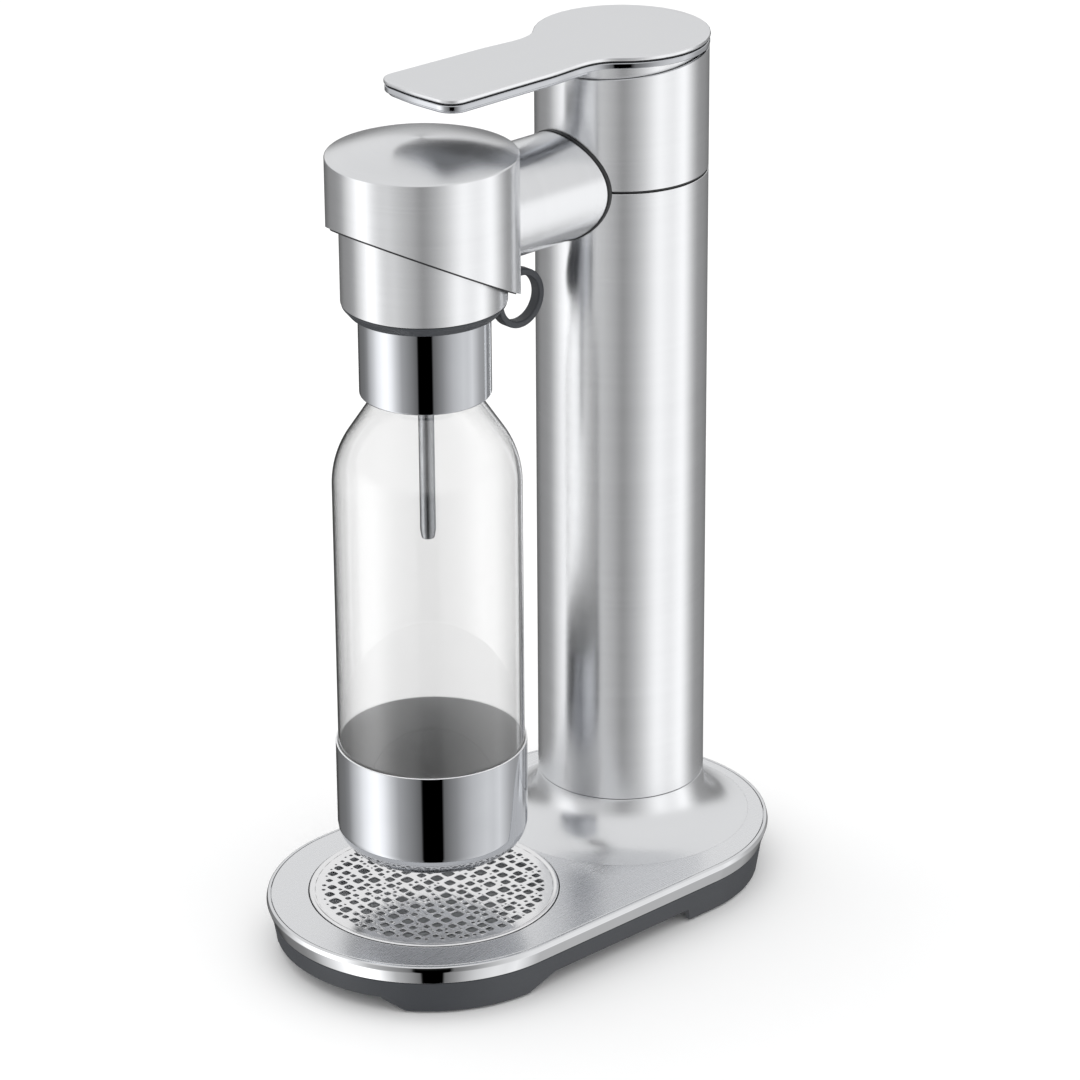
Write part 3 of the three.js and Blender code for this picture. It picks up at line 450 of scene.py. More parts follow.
@dataclass(frozen=True)
class BrushedSteel(Finish):
    """Stainless steel, brushed with a fine belt while it turns, or in straight lines.

    The lines give a soft glow that spreads across them and stays narrow along them.
    """

    colour: str = "e7e8ea"
    grain: Grain = Grain.TURNED_UPRIGHT
    centre: Point = (0.0, 0.0, 0.0)
    roughness: float = 0.25
    spread: float = 0.7
    line_mm: float = 0.45
    stroke: float = 22.0  # one stroke of the belt stays even over about 45 mm
    depth: float = 0.045
    contrast: float = 0.1

    def surface(self, tree: bpy.types.NodeTree) -> bpy.types.NodeSocket:
        """Build the brushed metal."""
        place = add_node(tree, "ShaderNodeTexCoord").outputs["Object"]
        level = self.grain is Grain.TURNED_LEVEL
        straight = self.grain is Grain.STRAIGHT
        away = {0: place, 1: self.centre}
        moved = add_node(tree, "ShaderNodeVectorMath", away, operation="SUBTRACT").outputs[0]
        stood = {"Vector": moved, "Rotation": (math.pi / 2 if level else 0.0, 0.0, 0.0)}
        about = add_node(tree, "ShaderNodeMapping", stood).outputs[0]
        parts = add_node(tree, "ShaderNodeSeparateXYZ", {0: about})
        lines = 1.0 / (self.line_mm * MM)
        if straight:
            scales = {0: about, 1: (lines, self.stroke, self.stroke)}
            run = add_node(tree, "ShaderNodeVectorMath", scales, operation="MULTIPLY").outputs[0]
        else:
            flat = {0: parts.outputs[0], 1: parts.outputs[1]}
            spoke = add_node(tree, "ShaderNodeCombineXYZ", flat).outputs[0]
            across = add_node(tree, "ShaderNodeVectorMath", {0: spoke}, operation="LENGTH").outputs["Value"]
            ways = ((across, lines), (parts.outputs[2], lines), (parts.outputs[0], self.stroke))
            scaled = [
                add_node(tree, "ShaderNodeMath", {0: way, 1: scale}, operation="MULTIPLY").outputs[0]
                for way, scale in ways
            ]
            run = add_node(tree, "ShaderNodeCombineXYZ", dict(enumerate(scaled))).outputs[0]
        fine = {"Vector": run, "Scale": 1.0, "Detail": 3.0, "Roughness": 0.62}
        strokes = add_node(tree, "ShaderNodeTexNoise", fine).outputs["Fac"]
        stretch = {0: run, 1: (0.06, 0.06, 0.5)}
        broad = add_node(tree, "ShaderNodeVectorMath", stretch, operation="MULTIPLY").outputs[0]
        slow = {"Vector": broad, "Scale": 1.0, "Detail": 2.0}
        wide = add_node(tree, "ShaderNodeTexNoise", slow).outputs["Fac"]
        blend = {"Factor": 0.35, 2: strokes, 3: wide}
        both = add_node(tree, "ShaderNodeMix", blend, data_type="FLOAT").outputs[0]
        dark, light = shaded(self.colour, 1 - self.contrast), shaded(self.colour, 1 + self.contrast / 2)
        tints = {"Factor": both, 6: dark, 7: light}
        tint = add_node(tree, "ShaderNodeMix", tints, data_type="RGBA").outputs[2]
        gloss = add_node(
            tree,
            "ShaderNodeMapRange",
            {
                "Value": both,
                "From Min": 0.25,
                "From Max": 0.75,
                "To Min": self.roughness - 0.03,
                "To Max": self.roughness + 0.03,
            },
        ).outputs[0]
        relief = {"Height": strokes, "Strength": self.depth, "Distance": 0.02 * MM}
        bump = add_node(tree, "ShaderNodeBump", relief).outputs[0]
        facing = add_node(tree, "ShaderNodeNewGeometry").outputs["Normal"]
        if straight:
            along = add_node(tree, "ShaderNodeCombineXYZ", {1: 1.0}).outputs[0]
        else:
            about_pole = {0: (0.0, 1.0, 0.0) if level else (0.0, 0.0, 1.0), 1: moved}
            along = add_node(tree, "ShaderNodeVectorMath", about_pole, operation="CROSS_PRODUCT").outputs[0]
        square = {0: facing, 1: along}
        glow = add_node(tree, "ShaderNodeVectorMath", square, operation="CROSS_PRODUCT").outputs[0]
        return add_node(
            tree,
            "ShaderNodeBsdfPrincipled",
            {
                "Base Color": tint,
                "Metallic": 1.0,
                "Roughness": gloss,
                "Anisotropic": self.spread,
                "Tangent": glow,
                "Normal": bump,
            },
        ).outputs[0]


@dataclass(frozen=True)
class PolishedChrome(Finish):
    """Chrome plate over polished steel: a mirror with the slow waver that polishing leaves."""

    colour: str = "c6c8cc"
    roughness: float = 0.0
    wave_mm: float = 16.0

    def surface(self, tree: bpy.types.NodeTree) -> bpy.types.NodeSocket:
        """Build the mirror."""
        place = add_node(tree, "ShaderNodeTexCoord").outputs["Object"]
        waver = {"Vector": place, "Scale": 1 / (self.wave_mm * MM), "Detail": 2.0}
        wave = add_node(tree, "ShaderNodeTexNoise", waver).outputs["Fac"]
        tints = {"Factor": wave, 6: shaded(self.colour, 1.03), 7: shaded(self.colour, 0.95)}
        tint = add_node(tree, "ShaderNodeMix", tints, data_type="RGBA").outputs[2]
        relief = {"Height": wave, "Strength": 0.1, "Distance": 0.05 * MM}
        bump = add_node(tree, "ShaderNodeBump", relief).outputs[0]
        mirror = {"Base Color": tint, "Metallic": 1.0, "Roughness": self.roughness, "Normal": bump}
        return add_node(tree, "ShaderNodeBsdfPrincipled", mirror).outputs[0]


@dataclass(frozen=True)
class MouldedPlastic(Finish):
    """ABS or rubber out of a spark-eroded mould: an even matt skin with a fine pebble."""

    colour: str = "45484d"
    roughness: float = 0.5
    pebble_mm: float = 0.45
    cloud_mm: float = 24.0
    depth: float = 0.25

    def surface(self, tree: bpy.types.NodeTree) -> bpy.types.NodeSocket:
        """Build the moulded skin."""
        place = add_node(tree, "ShaderNodeTexCoord").outputs["Object"]
        grains = {"Vector": place, "Scale": 1 / (self.pebble_mm * MM), "Detail": 2.0}
        pebble = add_node(tree, "ShaderNodeTexNoise", grains).outputs["Fac"]
        clouds = {"Vector": place, "Scale": 1 / (self.cloud_mm * MM), "Detail": 3.0}
        cloud = add_node(tree, "ShaderNodeTexNoise", clouds).outputs["Fac"]
        tints = {"Factor": cloud, 6: shaded(self.colour, 0.88), 7: shaded(self.colour, 1.12)}
        tint = add_node(tree, "ShaderNodeMix", tints, data_type="RGBA").outputs[2]
        gloss = add_node(
            tree,
            "ShaderNodeMapRange",
            {
                "Value": pebble,
                "From Min": 0.3,
                "From Max": 0.7,
                "To Min": self.roughness - 0.06,
                "To Max": self.roughness + 0.06,
            },
        ).outputs[0]
        relief = {"Height": pebble, "Strength": self.depth, "Distance": 0.05 * MM}
        bump = add_node(tree, "ShaderNodeBump", relief).outputs[0]
        skin = {"Base Color": tint, "Roughness": gloss, "IOR": 1.53, "Normal": bump}
        return add_node(tree, "ShaderNodeBsdfPrincipled", skin).outputs[0]


@dataclass(frozen=True)
class MachinedMetal(Finish):
    """Brass, steel or aluminium straight off the machine: faint tool marks and a little stain."""

    colour: str = "b0b2b5"
    roughness: float = 0.32
    mark_mm: float = 0.6
    stain_mm: float = 9.0

    def surface(self, tree: bpy.types.NodeTree) -> bpy.types.NodeSocket:
        """Build the machined metal."""
        place = add_node(tree, "ShaderNodeTexCoord").outputs["Object"]
        cuts = {"Vector": place, "Scale": 1 / (self.mark_mm * MM), "Detail": 3.0}
        marks = add_node(tree, "ShaderNodeTexNoise", cuts).outputs["Fac"]
        stains = {"Vector": place, "Scale": 1 / (self.stain_mm * MM), "Detail": 4.0}
        stain = add_node(tree, "ShaderNodeTexNoise", stains).outputs["Fac"]
        tints = {"Factor": stain, 6: shaded(self.colour, 0.82), 7: shaded(self.colour, 1.1)}
        tint = add_node(tree, "ShaderNodeMix", tints, data_type="RGBA").outputs[2]
        relief = {"Height": marks, "Strength": 0.2, "Distance": 0.03 * MM}
        bump = add_node(tree, "ShaderNodeBump", relief).outputs[0]
        metal = {"Base Color": tint, "Metallic": 1.0, "Roughness": self.roughness, "Normal": bump}
        return add_node(tree, "ShaderNodeBsdfPrincipled", metal).outputs[0]


@dataclass(frozen=True)
class ClearPlastic(Finish):
    """Blown PET: clear and glossy, with the slow waver that blowing leaves in the wall."""

    colour: str = "f6f6f6"
    wave_mm: float = 38.0

    def surface(self, tree: bpy.types.NodeTree) -> bpy.types.NodeSocket:
        """Build the clear wall. A light's ray passes it almost whole, as through the real thin wall."""
        place = add_node(tree, "ShaderNodeTexCoord").outputs["Object"]
        waver = {"Vector": place, "Scale": 1 / (self.wave_mm * MM), "Detail": 1.0}
        wave = add_node(tree, "ShaderNodeTexNoise", waver).outputs["Fac"]
        relief = {"Height": wave, "Strength": 0.05, "Distance": 0.2 * MM}
        bump = add_node(tree, "ShaderNodeBump", relief).outputs[0]
        wall = add_node(
            tree,
            "ShaderNodeBsdfPrincipled",
            {
                "Base Color": linear(self.colour),
                "Roughness": 0.0,
                "IOR": 1.57,
                "Transmission Weight": 1.0,
                "Normal": bump,
            },
        ).outputs[0]
        light = add_node(tree, "ShaderNodeLightPath").outputs["Is Shadow Ray"]
        passing = add_node(tree, "ShaderNodeBsdfTransparent", {"Color": linear("f2f2f2")}).outputs[0]
        return add_node(tree, "ShaderNodeMixShader", {0: light, 1: wall, 2: passing}).outputs[0]


TOWER_AXIS = (0.0, TOWER_Y * MM, 0.0)
FRONT_AXIS = (0.0, FRONT_Y * MM, 0.0)
ARM_HEIGHT = 353.5

TOWER_STEEL = BrushedSteel("brushed_stainless_tower", centre=TOWER_AXIS)
HEAD_STEEL = BrushedSteel("brushed_stainless_head", centre=FRONT_AXIS)
ARM_STEEL = BrushedSteel(
    "brushed_stainless_arm", grain=Grain.TURNED_LEVEL, centre=(0.0, 0.0, ARM_HEIGHT * MM)
)
COVER_STEEL = BrushedSteel(
    "satin_stainless_cover", grain=Grain.STRAIGHT, spread=0.4, roughness=0.27, depth=0.012, contrast=0.03
)
SWEEP_STEEL = BrushedSteel(
    "satin_stainless_sweep", centre=TOWER_AXIS, spread=0.4, roughness=0.25, depth=0.008, contrast=0.03
)
LEVER_STEEL = BrushedSteel(
    "satin_stainless_lever",
    grain=Grain.STRAIGHT,
    spread=0.4,
    roughness=0.32,
    line_mm=0.35,
    depth=0.015,
    contrast=0.03,
)
CHROME = PolishedChrome("polished_chrome")
TRIM_CHROME = PolishedChrome("bright_trim", colour="e2e3e5")
GRILLE_CHROME = PolishedChrome("polished_grille", colour="f3f3f4", roughness=0.15)
DARK_ABS = MouldedPlastic("dark_grey_abs", colour="34373c")
CUP_LINING = MouldedPlastic("light_grey_lining", colour="eeeff0", roughness=0.3, depth=0.05)
TRAY_ABS = MouldedPlastic("mid_grey_abs", colour="c9cbcd")
BLACK_ABS = MouldedPlastic("black_abs", colour="1d1e20", roughness=0.45)
RUBBER = MouldedPlastic("black_rubber", colour="1a1a1b", roughness=0.8, pebble_mm=0.8)
ENAMEL = MouldedPlastic("grey_enamel", colour="8f959c", roughness=0.3, pebble_mm=3.0, depth=0.1)
PET = ClearPlastic("clear_pet")
BRASS = MachinedMetal("turned_brass", colour="c6a560")
STEEL = MachinedMetal("turned_steel", colour="b4b6b9", roughness=0.22)
ALUMINIUM = MachinedMetal("cast_aluminium", colour="aeb1b4", roughness=0.5, mark_mm=1.5)


# ---------- pieces ----------
@dataclass
class Assembly(ABC):
    """A group of pieces that is built and dressed together."""

    made: list[str] = field(default_factory=list, init=False)

    def piece(
        self, name: str, shape: BMesh, body: str, slot: str, finish: Finish, nodes: Iterable[str]
    ) -> bpy.types.Object:
        """Turn a shape into a finished piece that stands for frame nodes.

        Args:
            name: The piece's name.
            shape: Its solid, in millimetres.
            body: The frame body that it rides on.
            slot: The record's material slot; not used.
            finish: What it looks like.
            nodes: The frame nodes that it replaces.

        Returns:
            The object.
        """
        bmesh.ops.scale(shape, verts=shape.verts, vec=(MM, MM, MM))
        for face in shape.faces:
            face.smooth = True
        for edge in shape.edges:
            edge.smooth = len(edge.link_faces) == 2 and edge.calc_face_angle(math.pi) < SHARP
        made = as_object(shape, name)
        made.data.materials.append(finish.material())
        even = made.modifiers.new("even_shading", "WEIGHTED_NORMAL")
        even.keep_sharp = True
        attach(made, body)
        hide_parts(*nodes)
        self.made.append(name)
        log.info("%s: %d faces on %s", name, len(made.data.polygons), body)
        return made

    @abstractmethod
    def build(self) -> None:
        """Make every piece of the assembly."""


@dataclass
class Base(Assembly):
    """The pressed cover with its sweep up to the tower, the bright band, the skirt, the feet and the lid."""

    radius: float = 77.1
    reach: float = 57.3
    top: float = 26.5
    sheet: float = 1.5
    band_lip: float = 2.3
    band_bottom: float = 17.0
    taper: float = 2.5
    sweep: float = 22.0
    sweep_lip: float = 1.5
    tray_hole: float = 58.9
    skirt_wall: float = 3.0
    arch_top: float = 7.5
    bay_r: float = 32.5  # hole that the gas cylinder's lid closes

    def build(self) -> None:
        """Make the base's pieces."""
        self.cover()
        self.band()
        self.skirt()
        self.feet()
        self.lid()

    def cover(self) -> None:
        """Press the cover: a long plate with a hole for the tray and a concave sweep round the tower."""
        edge = self.radius - self.band_lip
        low = self.top - self.sheet
        plate = pulled_apart(
            turn(
                [Corner(0, low), Corner(edge, low), Corner(edge, self.top, 0.35), Corner(0, self.top)],
                PLATE_STEPS,
                loop=False,
            ),
            self.reach,
        )
        foot = TOWER_R + self.sweep
        below, above = low - CLEAR, self.top + CLEAR
        tray = turn(section(0, self.tray_hole, below, above), PLATE_STEPS, loop=False, y=FRONT_Y)
        well = shifted(bar(foot - 0.4, below, above, "Z", PLATE_STEPS), 0, TOWER_Y, 0)
        plate = carve(plate, tray, well)
        sweep_top = self.top + self.sweep + self.sweep_lip
        inner = TOWER_R - self.sheet
        lip = self.sweep - 0.05
        sweep = turn(
            [
                Corner(foot, self.top),
                Corner(TOWER_R, self.top, lip),
                Corner(TOWER_R, sweep_top, 0.3),
                Corner(inner, sweep_top, 0.2),
                Corner(inner, low, lip),
                Corner(foot, low),
            ],
            y=TOWER_Y,
        )
        self.piece("pressed_cover", plate, "machine", "brushed_metal", COVER_STEEL, ["base_cover"])
        self.piece("cover_sweep", sweep, "machine", "brushed_metal", SWEEP_STEEL, ["base_cover"])

    def band(self) -> None:
        """Make the bright band that edges the cover."""
        inner = self.radius - self.band_lip + 0.3
        shelf = self.radius - self.taper - 2
        shape = turn(
            [
                Corner(shelf, self.band_bottom),
                Corner(self.radius - self.taper, self.band_bottom, 0.3),
                Corner(self.radius, self.top - 2.4, 1.2),
                Corner(self.radius - 0.6, self.top - 0.1, 0.7),
                Corner(inner, self.top, 0.3),
                Corner(inner, self.top - 2),
                Corner(shelf, self.top - 2),
            ],
            PLATE_STEPS,
        )
        band = pulled_apart(shape, self.reach)
        self.piece("bright_band", band, "machine", "polished_metal", TRIM_CHROME, ["base_trim"])

    def skirt(self) -> None:
        """Mould the skirt and its floor, with low arches at the front, the back and the sides."""
        top = self.band_bottom - 0.3
        outer = self.radius - self.taper - 0.1
        foot = outer - self.taper
        wall = self.skirt_wall
        bottom, ceiling, floor = 1, 9, top - 4
        shape = turn(
            [
                Corner(0, ceiling),
                Corner(foot - wall, ceiling, 0.5),
                Corner(foot - wall, bottom),
                Corner(foot, bottom, 0.6),
                Corner(outer, top, 0.3),
                Corner(outer - wall, top),
                Corner(outer - wall, floor, 0.5),
                Corner(0, floor),
            ],
            PLATE_STEPS,
            loop=False,
        )
        skirt = pulled_apart(shape, self.reach)
        end = self.reach + self.radius
        past = self.radius + CLEAR
        front = prism(self.arch(-50, 50, 36, -36), -end - CLEAR, -self.reach - 30, "Y")
        rear = prism(self.arch(-30, 30, 26, -26), self.reach + 30, end + CLEAR, "Y")
        sides = prism(self.arch(-70, 43, 40, -46), -past, past, "X")
        bay = shifted(bar(self.bay_r, -CLEAR, 30, "Z", TURN_STEPS), 0, TOWER_Y, 0)
        skirt = carve(skirt, front, rear, sides, bay)
        self.piece("moulded_skirt", skirt, "machine", "dark_plastic", DARK_ABS, ["base_chassis"])

    def arch(self, *ends: float) -> list[tuple[float, float]]:
        """Return a low arch's outline from the ends of its foot and of its top, in turn."""
        return list(zip(ends, (-2, -2, self.arch_top, self.arch_top)))

    def feet(self) -> None:
        """Make the rubber feet where the frame has them."""
        for node in ("foot_front_left", "foot_front_right", "foot_rear_left", "foot_rear_right"):
            low, high = node_box(node)
            radius = (high.x - low.x) / 2
            x, y, _ = centre(node)
            foot = turn(
                [Corner(0, 0), Corner(radius, 0, 0.8), Corner(radius, high.z, 0.3), Corner(0, high.z)],
                SMALL_STEPS,
                loop=False,
            )
            shifted(foot, x, y, 0)
            self.piece(node.replace("foot", "rubber_foot"), foot, "machine", "rubber_black", RUBBER, [node])

    def lid(self) -> None:
        """Make the lid under the gas cylinder, with its grip bar."""
        low, high = node_box("cylinder_door")
        hub, rim, face, back = 32.0, 36.0, 5.2, 8.7
        lid = turn(
            [
                Corner(0, face),
                Corner(rim, face, 0.8),
                Corner(rim, back, 0.3),
                Corner(hub, back),
                Corner(hub, high.z, 0.5),
                Corner(0, high.z),
            ],
            loop=False,
            y=TOWER_Y,
        )
        grip = block((-28, TOWER_Y - 4, low.z), (28, TOWER_Y + 4, face + 0.8), 0.7)
        lid = carve(lid, grip, how=Carve.JOIN)
        self.piece("twist_lid", lid, "door", "dark_plastic", DARK_ABS, ["cylinder_door"])


@dataclass
class DripTray(Assembly):
    """The bowl and the bright plate over it, pierced with small rounded squares of many sizes."""

    radius: float = 58.4
    rim: float = 1.7
    seat: float = 24.0
    top: float = 27.3
    deep: float = 13.0
    field_r: float = 52.6
    plate_thick: float = 1.2
    hole_halves: tuple[tuple[float, int], ...] = (  # half widths, each with its count
        (2.45, 58), (1.95, 85), (1.4, 110), (0.85, 130), (0.5, 90),
    )
    web: float = 0.95
    tries: int = 120  # for each hole
    seed: int = 11

    def build(self) -> None:
        """Make the tray's pieces."""
        self.bowl()
        self.grille()

    def bowl(self) -> None:
        """Mould the bowl."""
        outer = self.radius - 2.5
        low = self.seat - self.deep + 2
        bowl = turn(
            [
                Corner(0, low),
                Corner(outer, low, 3),
                Corner(outer, self.seat - 0.3),
                Corner(self.radius, self.seat - 0.3, 0.3),
                Corner(self.radius, self.seat + 0.9, 0.3),
                Corner(outer - 1.5, self.seat + 0.9, 0.4),
                Corner(outer - 1.5, low + 1.5, 2),
                Corner(0, low + 1.5),
            ],
            loop=False,
            y=FRONT_Y,
        )
        self.piece("drip_tray_bowl", bowl, "tray", "dark_plastic", TRAY_ABS, ["drip_bowl"])

    def holes(self) -> list[tuple[float, float, float]]:
        """Scatter the drain holes, the large ones first.

        Returns:
            Each hole's x, y and half width.
        """
        dice = random.Random(self.seed)
        placed: list[tuple[float, float, float]] = []
        for half, count in self.hole_halves:
            made = 0
            for _ in range(count * self.tries):
                if made == count:
                    break
                x, y = (dice.uniform(-self.field_r, self.field_r) for _ in range(2))
                if math.hypot(x, y) + half * 1.1 > self.field_r:
                    continue
                if all(max(abs(x - a), abs(y - b)) > half + other + self.web for a, b, other in placed):
                    placed.append((x, y, half * dice.uniform(0.9, 1.08)))
                    made += 1
        return placed

    def grille(self) -> None:
        """Make the pierced plate and its rolled rim."""
        inner = self.radius - self.rim
        dish = self.top - 0.4
        rim = turn(
            [
                Corner(inner - 1.0, dish - self.plate_thick),
                Corner(inner - 0.2, dish - self.plate_thick, 0.2),
                Corner(inner + 0.6, self.seat + 1.2, 0.4),
                Corner(self.radius, self.seat + 1.2, 0.4),
                Corner(self.radius, self.top, 0.7),
                Corner(inner + 0.5, self.top, 0.6),
                Corner(inner - 0.4, dish, 0.6),
                Corner(inner - 1.0, dish),
            ],
            PLATE_STEPS,
            y=FRONT_Y,
        )
        loops = [circle(inner - 0.95)]
        for x, y, half in self.holes():
            loops.append(eased_square(x, y, half))
        plate = shifted(flat_plate(loops, self.plate_thick, 0.15), 0, FRONT_Y, dish - self.plate_thick / 2)
        self.piece("grille_rim", rim, "grille", "polished_metal", GRILLE_CHROME, ["drip_grille"])
        self.piece("grille_plate", plate, "grille", "polished_metal", GRILLE_CHROME, ["drip_grille"])


def circle(radius: float) -> list[Knot]:
    """Return a circle about the origin as four knots with handles."""
    reach = KNOT_REACH * radius
    knots = []
    for k in range(4):
        way = Vector((math.cos(k * TAU / 4), math.sin(k * TAU / 4), 0))
        side = Vector((-way.y, way.x, 0))
        point = way * radius
        knots.append((tuple(point - side * reach), tuple(point), tuple(point + side * reach)))
    return knots


def eased_square(x: float, y: float, half: float) -> list[Knot]:
    """Return a square with bulging sides and well rounded corners as four knots with handles."""
    knots = []
    for k in range(4):
        way = Vector((math.cos(k * TAU / 4), math.sin(k * TAU / 4), 0))
        side = Vector((-way.y, way.x, 0)) * half * 0.9
        point = Vector((x, y, 0)) + way * half
        knots.append((tuple(point - side), tuple(point), tuple(point + side)))
    return knots


@dataclass
class Tower(Assembly):
    """The two brushed tubes and the dark ring between them."""

    skin: float = 1.2
    pivot_y: float = 20.0
    top_slope: float = 0.102
    reach: float = 60.0  # past the tower's front

    def tube(self, inset: float, skin: float, low: float, high: float, ease: float = 0.0) -> BMesh:
        """Make a length of tube with the arm's socket cut through its front.

        Args:
            inset: How far its surface lies inside the tower's.
            skin: The distance from the tower's surface to the tube's bore.
            low: Its lower end.
            high: Its upper end.
            ease: The radius that rounds its outer edges.

        Returns:
            The tube, open towards the arm.
        """
        shape = turn(section(TOWER_R - skin, TOWER_R - inset, low, high, ease), y=TOWER_Y)
        return carve(shape, arm_socket(TOWER_Y - self.reach, TOWER_Y))

    def build(self) -> None:
        """Make the tower's pieces."""
        low, high = node_box("tower_tube_lower")
        lower = self.tube(0, self.skin, low.z, high.z, 0.25)
        self.piece("tower_lower", lower, "machine", "brushed_metal", TOWER_STEEL, ["tower_tube_lower"])
        low, high = node_box("tower_tube_upper")
        near, pivot = TOWER_Y - self.reach, TOWER_Y + self.pivot_y
        front = high.z - (self.pivot_y + self.reach) * self.top_slope
        above = high.z + CLEAR
        corners = [(near, front), (pivot, high.z), (pivot, above), (near, above)]
        wedge = prism(corners, -self.reach, self.reach, "X")
        upper = carve(self.tube(0, self.skin, low.z, high.z, 0.25), wedge)
        self.piece("tower_upper", upper, "machine", "brushed_metal", TOWER_STEEL, ["tower_tube_upper"])
        low, high = node_box("tower_seam_ring")
        seam = self.tube(0.6, 2.0, low.z, high.z)
        self.piece("tower_seam", seam, "machine", "black_plastic", BLACK_ABS, ["tower_seam_ring"])


@dataclass
class Arm(Assembly):
    """The level tube between tower and head, with the gasket where it meets the tower."""

    radius: float = 25.2
    skin: float = 1.2

    def upright(self, radius: float, y: float) -> BMesh:
        """Make an upright bar through the arm's height, to trim the arm with."""
        return shifted(bar(radius, 300, 400, "Z", TURN_STEPS), 0, y, 0)

    def sleeve(self, inner: float, outer: float, start: float, end: float) -> BMesh:
        """Make a level tube along Y at the arm's height."""
        shape = turn(section(inner, outer, start, end), 128)
        return shifted(tipped(shape, -90, "X"), 0, 0, ARM_HEIGHT)

    def build(self) -> None:
        """Make the arm's pieces."""
        tube = self.sleeve(self.radius - self.skin, self.radius, FRONT_Y, TOWER_Y)
        tube = carve(tube, self.upright(HEAD_R + 0.3, FRONT_Y), self.upright(TOWER_R + 1.8, TOWER_Y))
        self.piece("arm_sleeve", tube, "machine", "brushed_metal", ARM_STEEL, ["arm_tube"])
        gasket = self.sleeve(self.radius - 2.3, self.radius + 0.5, TOWER_Y - TOWER_R - 20, TOWER_Y)
        gasket = carve(gasket, self.upright(TOWER_R + 1.5, TOWER_Y), how=Carve.KEEP)
        gasket = carve(gasket, self.upright(TOWER_R + 0.3, TOWER_Y))
        self.piece("arm_seal", gasket, "machine", "black_plastic", BLACK_ABS, ["arm_gasket"])


@dataclass
class Head(Assembly):
    """The round head cover with a shallow dome and a slanted lower edge."""

    sheet: float = 1.5
    rim: float = 387.3
    dome: float = 7.7
    cut: float = 338.0  # height of the slanted edge's plane on the head's axis
    bottom: float = 290.0  # below the slanted edge all round
    dome_steps: int = 14

    def build(self) -> None:
        """Make the head's cover."""
        bulge = (HEAD_R**2 + self.dome**2) / (2 * self.dome)
        crown = self.rim + self.dome
        reach = [HEAD_R * (1 - k / self.dome_steps) for k in range(self.dome_steps + 1)]
        rise = [crown - (bulge - math.sqrt(bulge**2 - r**2)) for r in reach]
        inner = HEAD_R - self.sheet
        outside = [Corner(r, z, 0.9 if k == 0 else 0.0) for k, (r, z) in enumerate(zip(reach, rise))]
        under = [Corner(r, z - self.sheet) for r, z in zip(reach, rise) if r <= inner][::-1]
        edge = [Corner(inner, self.bottom), Corner(HEAD_R, self.bottom)]
        shell = turn([*under, *edge, *outside], loop=False, y=FRONT_Y)
        shell = carve(shell, slanted(self.cut, 200.0), arm_socket(FRONT_Y, FRONT_Y + 60))
        self.piece("head_shell", shell, "machine", "brushed_metal", HEAD_STEEL, ["head_cover"])


def slanted(height: float, end: float) -> BMesh:
    """Make the solid between a plane with the head's slope and a level plane.

    Args:
        height: The slanted plane's height on the head's axis.
        end: The level plane's height.

    Returns:
        A closed solid.
    """
    reach = 60.0
    near, far = FRONT_Y - reach, FRONT_Y + reach
    rise = HEAD_SLOPE * reach
    corners = [(near, height + rise), (far, height - rise), (far, end), (near, end)]
    return prism(corners, -reach, reach, "X")


def arm_socket(start: float, end: float) -> BMesh:
    """Make the level bar that cuts the hole for the arm's core, between two places along Y."""
    return shifted(bar(SOCKET_R, start, end, "Y", SOCKET_STEPS), 0, 0, ARM_HEIGHT)


